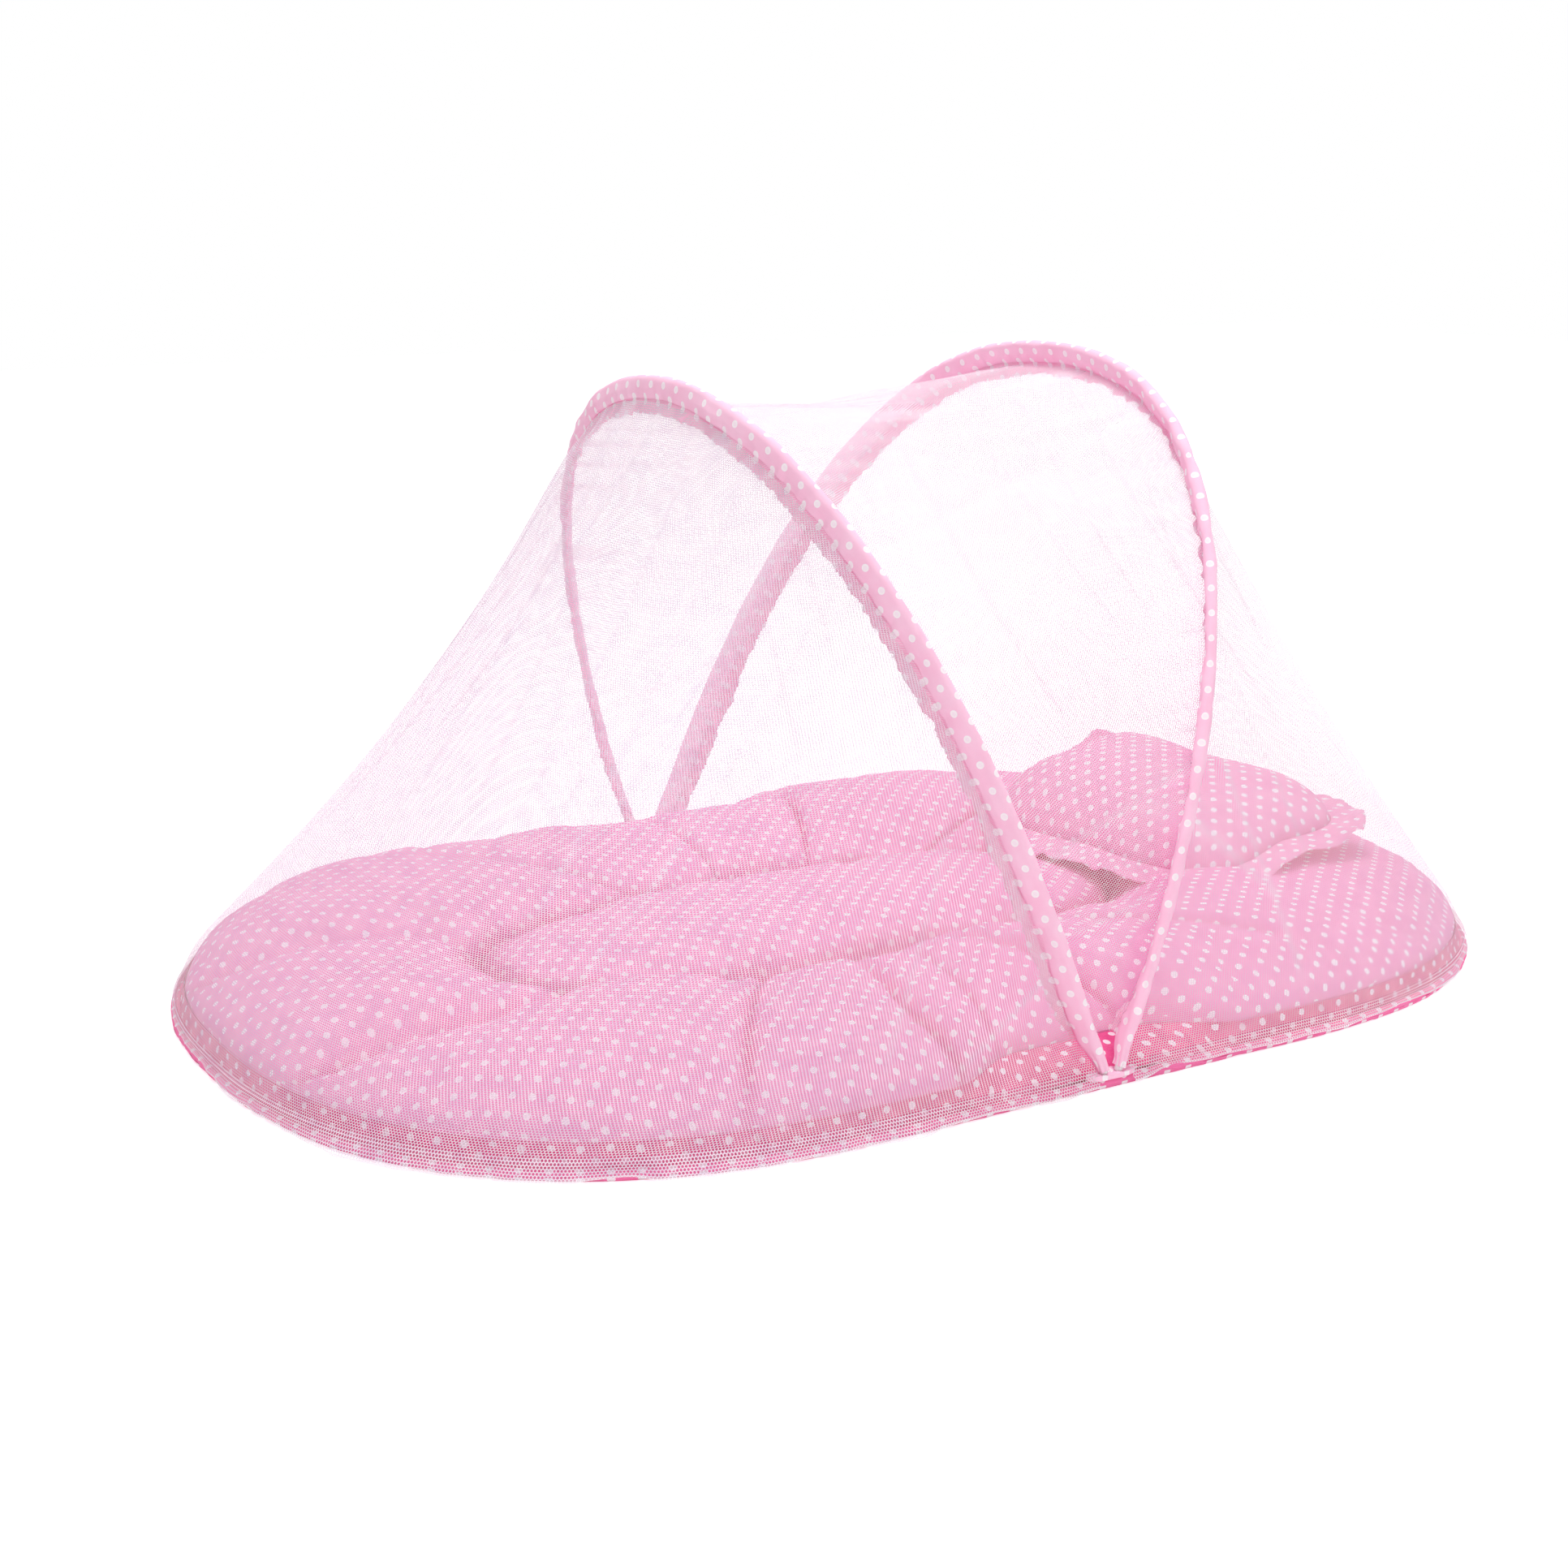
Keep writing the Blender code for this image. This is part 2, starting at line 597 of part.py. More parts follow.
def build_cap(name, side):
    """A round-nosed plastic cap on the wire's end, bored from its open end."""
    bore = HOOP_WIRE_RADIUS + FIT_GAP
    nose = [math.radians(a) for a in np.linspace(0, -90, 5)]
    profile = [(0, CAP_TIP), (bore, CAP_TIP), (bore, CAP_LENGTH), (CAP_RADIUS, CAP_LENGTH)]
    profile += [(CAP_RADIUS * math.cos(a), CAP_RADIUS * math.sin(a)) for a in nose]
    bm = bmesh.new()
    verts = [bm.verts.new((x, 0, z)) for x, z in profile]
    for a, b in zip(verts, verts[1:]):
        bm.edges.new((a, b))
    mesh = bpy.data.meshes.new(name)
    bm.to_mesh(mesh)
    bm.free()
    mesh.materials.append(CAP_PLASTIC)
    obj = bpy.data.objects.new(name, mesh)
    PARTS.objects.link(obj)
    turn = obj.modifiers.new("turn", "SCREW")
    turn.steps = turn.render_steps = 12
    turn.use_merge_vertices = True
    turn.merge_threshold = 0.00001
    obj.location = (side * RIM_HALF_WIDTH, 0, 0)
    obj.rotation_euler = (-math.pi / 2, 0, 0)
    return obj


# Net


def rim_seam(share, side):
    """A point on the ring's net seam, from the near foot (0) round one end to the far foot (1)."""
    route = np.array(rim_route(NET_FOOT_HEIGHT, TAPE_START_X, side > 0))
    if side < 0:
        route = route[::-1]
    along = lengths_along(route)
    return Vector(point_at(route, along, share * along[-1]))


def net_sheet(name, columns):
    """A thin net through columns of points, each from its upper edge to its lower one."""
    bm = bmesh.new()
    made = [[bm.verts.new(p) for p in column] for column in columns]
    for a, b in zip(made, made[1:]):
        for i in range(len(a) - 1):
            bm.faces.new((a[i], a[i + 1], b[i + 1], b[i]))
    obj = mesh_object(name, bm, NET_MESH)
    smooth(obj)
    thick = obj.modifiers.new("thickness", "SOLIDIFY")
    thick.thickness = NET_THICKNESS
    thick.offset = 0


def upper_hull(points):
    """The tight string over a row of (distance, height) points."""
    hull = []
    for p in points:
        while len(hull) > 1:
            a, b = hull[-2], hull[-1]
            if (b[0] - a[0]) * (p[1] - a[1]) - (b[1] - a[1]) * (p[0] - a[0]) < 0:
                break
            hull.pop()
        hull.append(p)
    return hull


def draped_column(seam, rim, sag_share):
    """From the ring up over the mattress's rolled edge, then straight to the hoop, drawn in a little."""
    run = Vector((seam.x - rim.x, seam.y - rim.y, 0))
    reach = run.length
    run.normalize()
    row = [(0, rim.z)]
    first_rest = MATTRESS_INSET - 2 * BINDING_RADIUS
    for distance in np.linspace(first_rest, min(reach, NET_REST_REACH), NET_REST_SAMPLES):
        x, y = rim.x + run.x * distance, rim.y + run.y * distance
        if inside_mattress(x, y):
            row.append((distance, mattress_height(x, y) + NET_CLEARANCE))
    row = [p for p in row if p[0] < reach - NET_CLEARANCE]
    hull = np.array(upper_hull(row + [(reach, seam.z)]))
    lengths = lengths_along(hull)
    first, rested = [share * lengths[-1] for share in NET_LEAST_EDGE_SHARES]
    if len(hull) > 2:
        first, rested = lengths[1], lengths[-2]
    span = lengths[-1] - rested
    over_edge = np.linspace(first, rested, NET_STEPS_OVER_EDGE + 1)
    free = np.linspace(rested, lengths[-1], NET_STEPS_FREE + 1)[1:]
    column = []
    for length in [0, *over_edge, *free]:
        distance, height = point_at(hull, lengths, length)
        sag = sag_share * NET_SAG * math.sin(math.pi * max(length - rested, 0) / span)
        column.append(Vector((rim.x, rim.y, height - sag)) + run * (distance + sag))
    return column[::-1]


def build_end_net(name, hoop, side):
    columns = []
    for i in range(NET_STEPS_ALONG + 1):
        share = i / NET_STEPS_ALONG
        sag_share = math.sin(math.pi * share)
        columns.append(draped_column(hoop.seam(share, side), rim_seam(share, side), sag_share))
    net_sheet(name, columns)


def build_centre_net(foot_hoop, head_hoop):
    columns = []
    for i in range(NET_STEPS_ALONG + 1):
        share = i / NET_STEPS_ALONG
        from_point, to_point = foot_hoop.seam(share, 1), head_hoop.seam(share, -1)
        column = []
        for j in range(NET_STEPS_RIDGE + 1):
            v = j / NET_STEPS_RIDGE
            drop = RIDGE_SAG * math.sin(math.pi * v) * math.sin(math.pi * share)
            column.append(from_point.lerp(to_point, v) - Vector((0, 0, drop)))
        columns.append(column)
    net_sheet("centre_net", columns)


# Mattress


def waist(x):
    """How far the mattress is drawn in beside the hoops' feet."""
    t = (abs(x) - WAIST_FLAT_HALF) / (WAIST_END_HALF - WAIST_FLAT_HALF)
    t = min(max(t, 0), 1)
    return WAIST_DEPTH * (1 - t * t * (3 - 2 * t))


def mattress_outline():
    outline = offset_inwards(RIM_OUTLINE, MATTRESS_INSET - BINDING_RADIUS)
    return np.array([(x, y - math.copysign(waist(x), y) * (abs(y) > BED_WIDTH / 4)) for x, y in outline])


def edge_table(outline):
    """Angles and distances of the mattress's widest line, seen from the middle pad's centre."""
    x, y = (outline - [PAD_CENTRE_X, PAD_CENTRE_Y]).T
    angles = np.arctan2(y, x)
    order = np.argsort(angles)
    angles, distances = angles[order], np.hypot(x, y)[order]
    angles = np.concatenate([angles[-1:] - 2 * math.pi, angles, angles[:1] + 2 * math.pi])
    return angles, np.concatenate([distances[-1:], distances, distances[:1]])


def swell(share, form):
    """How far stuffing stands up: 1 in the middle and 0 at the seam, with a form of (flatness, fullness)."""
    flatness, fullness = form
    return max(1 - share**flatness, 0) ** fullness


def pad_radius(angle):
    """From the raised middle pad's centre to the channel round it."""
    c = abs(math.cos(angle) / PAD_HALF_LENGTH) ** PAD_POWER
    s = abs(math.sin(angle) / PAD_HALF_WIDTH) ** PAD_POWER
    return (c + s) ** (-1 / PAD_POWER)


def pad_height(share):
    """Height over the middle pad: 0 at its centre, 1 in the channel."""
    return CHANNEL_HEIGHT + (PAD_CROWN - CHANNEL_HEIGHT) * swell(share, PAD_SWELL)


def bolster_height(share, angle):
    """Height over the stuffed ring: 0 in the channel, 1 at the mattress's widest."""
    top = MATTRESS_TOP + CROWN_WAVE * (math.sin(5 * angle + 1) + 0.7 * math.sin(9 * angle))
    for fold in FOOT_FOLD_ANGLES:
        apart = (angle - fold + math.pi) % (2 * math.pi) - math.pi
        top -= FOOT_FOLD_DEPTH * math.exp(-((apart / FOOT_FOLD_SPREAD) ** 2))
    if share < BOLSTER_CREST:
        rise = swell((BOLSTER_CREST - share) / BOLSTER_CREST, BOLSTER_INNER_SWELL)
        return CHANNEL_HEIGHT + (top - CHANNEL_HEIGHT) * rise
    fall = swell((share - BOLSTER_CREST) / (1 - BOLSTER_CREST), BOLSTER_OUTER_SWELL)
    return MATTRESS_EDGE_HEIGHT + (top - MATTRESS_EDGE_HEIGHT) * fall


def from_pad_centre(x, y):
    """A point's angle and distance from the middle pad's centre, and how far the mattress reaches there."""
    dx, dy = x - PAD_CENTRE_X, y - PAD_CENTRE_Y
    angle = math.atan2(dy, dx)
    return angle, math.hypot(dx, dy), np.interp(angle, *MATTRESS_EDGE)


def mattress_height(x, y):
    """The mattress's top under a point."""
    angle, distance, edge = from_pad_centre(x, y)
    pad = pad_radius(angle)
    if distance <= pad:
        return pad_height(distance / pad)
    return bolster_height(min((distance - pad) / (edge - pad), 1), angle)


def inside_mattress(x, y):
    """True over the mattress, out to its widest line."""
    _, distance, edge = from_pad_centre(x, y)
    return distance <= edge


def build_mattress():
    outline = MATTRESS_OUTLINE
    centre = np.array([PAD_CENTRE_X, PAD_CENTRE_Y])
    angles = [math.atan2(y, x) for x, y in outline - centre]
    pad_edge = [centre + pad_radius(a) * np.array([math.cos(a), math.sin(a)]) for a in angles]
    rings = [[(*centre, pad_height(0))]]
    for share in PAD_RING_SHARES:
        rings.append([(*(centre + share * (p - centre)), pad_height(share)) for p in pad_edge])
    for share in BOLSTER_RING_SHARES:
        heights = [bolster_height(share, a) for a in angles]
        rings.append([(*(p + share * (q - p)), z) for p, q, z in zip(pad_edge, outline, heights)])
    under = offset_inwards(outline, MATTRESS_UNDERCUT)
    bulge = offset_inwards(outline, MATTRESS_UNDERCUT * MATTRESS_UNDER_BULGE)
    low = MATTRESS_BOTTOM + (MATTRESS_EDGE_HEIGHT - MATTRESS_BOTTOM) * MATTRESS_UNDER_HEIGHT
    rings.append([(*p, low) for p in bulge])
    rings.append([(*p, MATTRESS_BOTTOM) for p in under])
    rings.append([(*centre, MATTRESS_BOTTOM)])
    flat_plate("mattress_backing", under, BACKING_BOTTOM, BACKING_THICKNESS, BASE_FABRIC)
    return ringed_solid("mattress_pad", rings, PAD_FABRIC)


# Pillow


def pillow_edge(angle, grown=0.0):
    """The pillow's outline, drawn in between its corners, or that outline grown by a margin."""
    half_x = PILLOW_WIDTH / 2
    half_y = PILLOW_LENGTH / 2
    x, y = power_curve(angle, half_x, half_y, PILLOW_POWER)
    draw = 1 - PILLOW_DRAW_IN * (1 - abs(math.sin(2 * math.atan2(y * half_x, x * half_y))))
    x, y = x * draw, y * draw
    reach = math.hypot(x, y)
    return x * (1 + grown / reach), y * (1 + grown / reach)


def moved_mesh(obj, matrix):
    """An object's corners after a move, and a search tree over its faces there."""
    corners = [matrix @ vertex.co for vertex in obj.data.vertices]
    faces = [tuple(polygon.vertices) for polygon in obj.data.polygons]
    return corners, BVHTree.FromPolygons(corners, faces)


def lift_onto(piece, support, matrix):
    """How far a piece is raised from its place so that it just rests on what is under it."""
    up = Vector((0, 0, 1))
    corners, tree = moved_mesh(piece, matrix)
    ground_corners, ground_tree = moved_mesh(support, Matrix.Identity(4))
    lift = -math.inf
    for corner in corners:
        ground = ground_tree.ray_cast(corner + up, -up)[0]
        if ground:
            lift = max(lift, ground.z - corner.z)
    for corner in ground_corners:
        underside = tree.ray_cast(corner - up, up)[0]
        if underside and corner.z > MATTRESS_EDGE_HEIGHT:
            lift = max(lift, corner.z - underside.z)
    return lift + FIT_GAP


def build_pillow(mattress):
    angles = np.linspace(0, 2 * math.pi, PILLOW_STEPS, endpoint=False)
    edge = [pillow_edge(a) for a in angles]
    top = [[(0, 0, PILLOW_EDGE / 2 + PILLOW_CROWN)]]
    below = [[(0, 0, -PILLOW_EDGE / 2 - PILLOW_BELLY)]]
    for share in PILLOW_RING_SHARES:
        stands = swell(share, PILLOW_SWELL)
        top.append([(x * share, y * share, PILLOW_EDGE / 2 + PILLOW_CROWN * stands) for x, y in edge])
        below.append([(x * share, y * share, -PILLOW_EDGE / 2 - PILLOW_BELLY * stands) for x, y in edge])
    pad = ringed_solid("pillow_pad", top + below[::-1], PAD_FABRIC)

    upper_rings, lower_rings = [], []
    for grown in (FIT_GAP, BORDER_WIDTH / 2, BORDER_WIDTH):
        ruffles = [BORDER_RUFFLE * grown / BORDER_WIDTH * math.sin(BORDER_WAVES * a) for a in angles]
        places = [(*pillow_edge(a, grown), ruffle) for a, ruffle in zip(angles, ruffles)]
        upper_rings.append([(x, y, z + BORDER_THICKNESS / 2) for x, y, z in places])
        lower_rings.append([(x, y, z - BORDER_THICKNESS / 2) for x, y, z in places])
    border_rings = upper_rings + lower_rings[::-1] + upper_rings[:1]
    border = ringed_solid("pillow_border", border_rings, PAD_FABRIC)

    turn = Matrix.Rotation(PILLOW_TURN, 4, "Z") @ Matrix.Rotation(PILLOW_TILT, 4, "Y")
    flat_place = Matrix.Translation((PILLOW_X, PILLOW_Y, 0)) @ turn
    lift = max(lift_onto(piece, mattress, flat_place) for piece in (pad, border))
    place = bpy.data.objects.new("pillow_place", None)
    PARTS.objects.link(place)
    place.matrix_world = Matrix.Translation((0, 0, lift)) @ flat_place
    pad.parent = place
    border.parent = place


clear_scene()
RIM_OUTLINE = rim_outline(RIM_HALF_LENGTH, RIM_HALF_WIDTH)
MATTRESS_OUTLINE = mattress_outline()
MATTRESS_EDGE = edge_table(MATTRESS_OUTLINE)
PARTS = new_collection("bed_tent")
CUTTERS = new_collection("cutters")
GUIDES = new_collection("guides")
BASE_FABRIC = make_material("deep_pink_dotted_fabric", DEEP_PINK, 0.85)
SLEEVE_FABRIC = make_material("pink_dotted_fabric", PINK, 0.85)
PAD_FABRIC = make_material("pale_pink_dotted_fabric", PALE_PINK, 0.88)
NET_MESH = make_material("white_net", NET_WHITE, 0.7)
WHITE_TAPE = make_material("white_tape", NET_WHITE, 0.8)
STEEL_WIRE = make_material("spring_steel", STEEL, 0.35, 1.0)
CAP_PLASTIC = make_material("white_plastic", WHITE_PLASTIC, 0.4)
ZIP_ENAMEL = make_material("enamelled_zip_metal", WHITE_PLASTIC, 0.35, 0.2)

build_base()
build_pull(build_zip())
build_foot_tab("near_foot_tab", -1)
build_foot_tab("far_foot_tab", 1)
FOOT_HOOP = Hoop("foot_hoop", -1, FOOT_HOOP_HEIGHT, FOOT_HOOP_LEAN, FOOT_HOOP_POWER)
HEAD_HOOP = Hoop("head_hoop", 1, HEAD_HOOP_HEIGHT, HEAD_HOOP_LEAN, HEAD_HOOP_POWER)
SLEEVE_GUIDE = section_guide("sleeve_section", sleeve_section())
FLANGE_HALF = FLANGE_THICKNESS / 2
FLANGE_OUTLINE = rectangle(-SEAM_DEPTH - FLANGE_WIDTH, -SEAM_DEPTH, -FLANGE_HALF, FLANGE_HALF)
FLANGE_GUIDE = section_guide("flange_section", FLANGE_OUTLINE)
build_hoop(FOOT_HOOP, SLEEVE_GUIDE, FLANGE_GUIDE)
build_hoop(HEAD_HOOP, SLEEVE_GUIDE, FLANGE_GUIDE)
build_end_net("foot_net", FOOT_HOOP, -1)
build_end_net("head_net", HEAD_HOOP, 1)
build_centre_net(FOOT_HOOP, HEAD_HOOP)
build_pillow(build_mattress())
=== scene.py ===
# The finish of an infant bed tent: dotted cloth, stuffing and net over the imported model.
# Metres, +Z up, +X towards the head end. Sheets are grids whose corners are put in place by the share of
# the cloth that they stand for, and each keeps its own flat place in metres for the weave to follow.

import math

import bpy
import numpy as np
from mathutils import Matrix, Vector


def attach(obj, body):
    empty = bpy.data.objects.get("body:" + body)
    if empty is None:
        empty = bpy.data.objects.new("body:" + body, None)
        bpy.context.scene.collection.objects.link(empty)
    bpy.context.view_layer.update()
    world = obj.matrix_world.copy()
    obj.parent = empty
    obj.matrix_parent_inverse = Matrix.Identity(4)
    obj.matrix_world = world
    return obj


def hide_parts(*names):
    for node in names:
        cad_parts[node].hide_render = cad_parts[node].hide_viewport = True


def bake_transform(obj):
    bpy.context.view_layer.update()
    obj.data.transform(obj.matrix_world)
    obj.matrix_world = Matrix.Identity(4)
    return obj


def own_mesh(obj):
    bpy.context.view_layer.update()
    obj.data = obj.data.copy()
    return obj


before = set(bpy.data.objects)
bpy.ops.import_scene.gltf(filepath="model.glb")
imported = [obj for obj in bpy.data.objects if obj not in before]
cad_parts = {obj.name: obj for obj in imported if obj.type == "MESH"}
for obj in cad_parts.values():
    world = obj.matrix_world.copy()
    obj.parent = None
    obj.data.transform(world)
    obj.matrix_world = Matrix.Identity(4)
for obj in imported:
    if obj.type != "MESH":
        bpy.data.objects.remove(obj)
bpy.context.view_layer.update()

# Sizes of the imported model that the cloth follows
BED_LENGTH = 1.10
BED_WIDTH = 0.72
SIDE_STRAIGHT_HALF = 0.18
END_POWER = 2.4
BINDING_RADIUS = 0.004
RIM_HEIGHT = 0.003709
RIM_HALF_LENGTH = BED_LENGTH / 2 - BINDING_RADIUS
RIM_HALF_WIDTH = BED_WIDTH / 2 - BINDING_RADIUS
TAPE_BOTTOM = 0.008009
TAPE_HEIGHT = 0.008
NET_FOOT_HEIGHT = 0.016309
TAPE_START_X = 0.035
NET_START_X = 0.014
SHEET_MIDDLE = 0.003709

FOOT_HOOP = {
    "side": -1,
    "height": 0.5015,
    "lean": math.radians(-18.9),
    "power": 2.1,
    "pull": math.radians(34),
}
HEAD_HOOP = {
    "side": 1,
    "height": 0.526,
    "lean": math.radians(21.9),
    "power": 2.3,
    "pull": math.radians(-38),
}
HOOP_PIVOT_SPACING = 0.014
PIVOT_HEIGHT = 0.012709
SLEEVE_RADIUS = 0.0045
SLEEVE_EASE = 0.0017
SEAM_DEPTH = 0.016
FLANGE_START = 0.026
FLANGE_WIDTH = 0.012

NET_CLEARANCE = 0.0055
NET_REST_REACH = 0.12
NET_SAG = 0.015
RIDGE_SAG = 0.014
NET_SEAM_DEPTH = 0.0175
NET_SEAM_OFFSET = 0.00115

MATTRESS_TOP = 0.074
MATTRESS_EDGE_HEIGHT = 0.026
MATTRESS_BOTTOM = 0.0052
MATTRESS_INSET = 0.008
WAIST_DEPTH = 0.034
WAIST_FLAT_HALF = 0.055
WAIST_END_HALF = 0.135
CHANNEL_HEIGHT = 0.036
PAD_CENTRE = np.array([-0.045, -0.020])
PAD_HALF_LENGTH = 0.285
PAD_HALF_WIDTH = 0.118
PAD_POWER = 2.6
PAD_CROWN = 0.064
BOLSTER_CREST = 0.42

PILLOW_LENGTH = 0.312
PILLOW_WIDTH = 0.212
PILLOW_POWER = 3.6
PILLOW_CROWN = 0.046
PILLOW_BELLY = 0.010
PILLOW_EDGE = 0.003
PILLOW_DRAW_IN = 0.06
PILLOW_PLACE = (0.326, -0.022, 0.0867)
PILLOW_TURN = math.radians(7)
PILLOW_TILT = math.radians(-5)
BORDER_WIDTH = 0.022
BORDER_SEAM = 0.009

# Steps along the lines that the cloth follows
RIM_QUARTER_STEPS = 400
OUTLINE_STEPS = 1200
RIM_END_STEPS = 1600


# Lines and curves


def superellipse(angle, half_x, half_y, power):
    """Points of a rounded form: the higher the power, the squarer its corners."""
    c, s = np.cos(angle), np.sin(angle)
    x = np.sign(c) * np.abs(c) ** (2 / power) * half_x
    y = np.sign(s) * np.abs(s) ** (2 / power) * half_y
    return np.stack([x, y], -1)


class Route:
    """A smooth line through many points, read by the distance along it."""

    def __init__(self, points, closed=False):
        points = np.asarray(points, float)
        if closed:
            points = np.vstack([points, points[:1]])
        steps = np.linalg.norm(np.diff(points, axis=0), axis=1)
        self.points = points
        self.along = np.concatenate([[0.0], np.cumsum(steps)])
        self.length = self.along[-1]
        self.closed = closed

    def at(self, distance):
        distance = np.asarray(distance, float)
        if self.closed:
            distance = np.mod(distance, self.length)
        return np.stack([np.interp(distance, self.along, column) for column in self.points.T], -1)

    def ahead(self, distance, step=0.003):
        run = self.at(distance + step) - self.at(distance - step)
        return run / np.linalg.norm(run, axis=-1, keepdims=True)

    def inwards(self, distance):
        """Square to a flat line, to the left of its run."""
        run = self.ahead(distance)
        return np.stack([-run[..., 1], run[..., 0]], -1)


def smoothstep(low, high, value):
    t = np.clip((value - low) / (high - low), 0, 1)
    return t * t * (3 - 2 * t)


def bell(value, width):
    return np.exp(-((value / width) ** 2))


def bumps(x, y, size, seed):
    """Smooth bumps between -1 and 1, about as wide as the size given."""
    table = np.random.default_rng(seed).uniform(-1, 1, (64, 64))
    x, y = np.broadcast_arrays(np.asarray(x, float) / size, np.asarray(y, float) / size)
    low_x, low_y = np.floor(x).astype(int), np.floor(y).astype(int)
    fx, fy = smoothstep(0, 1, x - low_x), smoothstep(0, 1, y - low_y)
    corner = [[table[(low_x + i) % 64, (low_y + j) % 64] for j in (0, 1)] for i in (0, 1)]
    first = corner[0][0] * (1 - fy) + corner[0][1] * fy
    second = corner[1][0] * (1 - fy) + corner[1][1] * fy
    return first * (1 - fx) + second * fx


def ripple(x, y, form, seed=0):
    """Bumps of a named form: their width, their height and which draw of them, counted on from seed."""
    width, height, draw = form
    return bumps(x, y, width, draw + seed) * height


def rim_line():
    reach = RIM_HALF_LENGTH - SIDE_STRAIGHT_HALF
    angle = np.linspace(0, math.pi / 2, RIM_QUARTER_STEPS)
    quarter = superellipse(angle, reach, RIM_HALF_WIDTH, END_POWER)
    quarter = np.vstack([quarter + [SIDE_STRAIGHT_HALF, 0], [0, RIM_HALF_WIDTH]])
    second = quarter[-2::-1] * [-1, 1]
    return np.vstack([quarter, second, quarter[1:] * [-1, -1], quarter[-2:0:-1] * [1, -1]])


RIM = Route(rim_line(), closed=True)


def rim_end(side, start):
    """The ring's line round one end of the bed, from near foot to far foot."""
    first = RIM.length * 0.75
    distances = first + side * np.linspace(0, RIM.length / 2, RIM_END_STEPS)
    points = RIM.at(distances)
    return Route(points[side * points[:, 0] > start])


RIM_END = {side: rim_end(side, TAPE_START_X) for side in (-1, 1)}
NET_END = {side: rim_end(side, NET_START_X) for side in (-1, 1)}


# Meshes

SEAM_GAP = 0.00002


def deselect():
    bpy.ops.object.select_all(action="DESELECT")


def pick(obj):
    """Makes a piece the only one that operators act on."""
    deselect()
    obj.select_set(True)
    bpy.context.view_layer.objects.active = obj


def add_object(name, data):
    obj = bpy.data.objects.new(name, data)
    bpy.context.scene.collection.objects.link(obj)
    return obj


def read_corners(mesh):
    corners = np.empty(len(mesh.vertices) * 3, np.float32)
    mesh.vertices.foreach_get("co", corners)
    return corners.reshape(-1, 3)


def lay_flat(mesh, cloth):
    """Gives each corner of the faces its flat place on the cloth, in metres."""
    loops = np.empty(len(mesh.loops), np.int32)
    mesh.loops.foreach_get("vertex_index", loops)
    mesh.uv_layers["cloth"].uv.foreach_set("vector", cloth[loops].astype(np.float32).ravel())


def grid(name, across, along, place):
    """Cloth cut as a grid. place() turns each corner's two shares into its place and its flat place."""
    deselect()
    bpy.ops.mesh.primitive_grid_add(x_subdivisions=across, y_subdivisions=along, size=1)
    obj = bpy.context.active_object
    obj.name = name
    mesh = obj.data
    mesh.name = name
    share = read_corners(mesh)[:, :2].astype(float) + 0.5
    places, cloth, *extra = place(share[:, 0], share[:, 1])
    mesh.vertices.foreach_set("co", places.astype(np.float32).ravel())
    mesh.uv_layers[0].name = "cloth"
    lay_flat(mesh, cloth)
    for label, values in (extra[0] if extra else {}).items():
        layer = mesh.attributes.new(label, "FLOAT", "POINT")
        layer.data.foreach_set("value", values.astype(np.float32))
    mesh.update()
    mesh.shade_smooth()
    return obj


def edit_all(obj, step):
    pick(obj)
    bpy.ops.object.mode_set(mode="EDIT")
    bpy.ops.mesh.select_all(action="SELECT")
    step()
    bpy.ops.object.mode_set(mode="OBJECT")


def close_seams(obj):
    """Sews coincident edges together and turns all faces outwards."""

    def step():
        bpy.ops.mesh.remove_doubles(threshold=SEAM_GAP)
        bpy.ops.mesh.normals_make_consistent(inside=False)

    edit_all(obj, step)
    obj.data.shade_smooth()
    return obj


def join(objects, name):
    deselect()
    for obj in objects:
        obj.select_set(True)
    bpy.context.view_layer.objects.active = objects[0]
    bpy.ops.object.join()
    objects[0].name = name
    objects[0].data.name = name
    return objects[0]


def applied(obj, kind, **settings):
    modifier = obj.modifiers.new(kind.lower(), kind)
    for key, value in settings.items():
        setattr(modifier, key, value)
    pick(obj)
    bpy.ops.object.modifier_apply(modifier=modifier.name)
    return obj


# Finishes


class Value:
    """Something that varies over a surface. Reckoning with it adds Math nodes to its finish."""

    def __init__(self, finish, socket):
        self.finish = finish
        self.socket = socket

    def maths(self, operation, first, second=0.0, third=0.0):
        values = {0: first, 1: second, 2: third}
        return self.finish.node("ShaderNodeMath", {"operation": operation}, values)

    def __add__(self, other):
        return self.maths("ADD", self, other)

    def __sub__(self, other):
        return self.maths("SUBTRACT", self, other)

    def __mul__(self, other):
        return self.maths("MULTIPLY", self, other)

    def __truediv__(self, other):
        return self.maths("DIVIDE", self, other)

    def __rsub__(self, other):
        return self.maths("SUBTRACT", other, self)

    __radd__ = __add__
    __rmul__ = __mul__

    def __abs__(self):
        return self.maths("ABSOLUTE", self)

    def __mod__(self, other):
        return self.maths("FLOORED_MODULO", self, other)

    def floor(self):
        return self.maths("FLOOR", self)

    def sine(self):
        return self.maths("SINE", self)

    def least(self, other):
        return self.maths("MINIMUM", self, other)

    def most(self, other):
        return self.maths("MAXIMUM", self, other)

    def root(self):
        return self.maths("SQRT", self)

    def step(self, low, high):
        """0 below low and 1 above high, or the other way round, with a soft change between them."""
        settings = {"interpolation_type": "SMOOTHSTEP"}
        values = {"Value": self, "From Min": min(low, high), "From Max": max(low, high)}
        values |= {"To Min": 0.0 if low < high else 1.0, "To Max": 1.0 if low < high else 0.0}
        return self.finish.node("ShaderNodeMapRange", settings, values)


# Where a colour Mix node keeps its sockets
MIX_FACTOR, MIX_FIRST, MIX_SECOND, MIX_RESULT = 0, 6, 7, 2


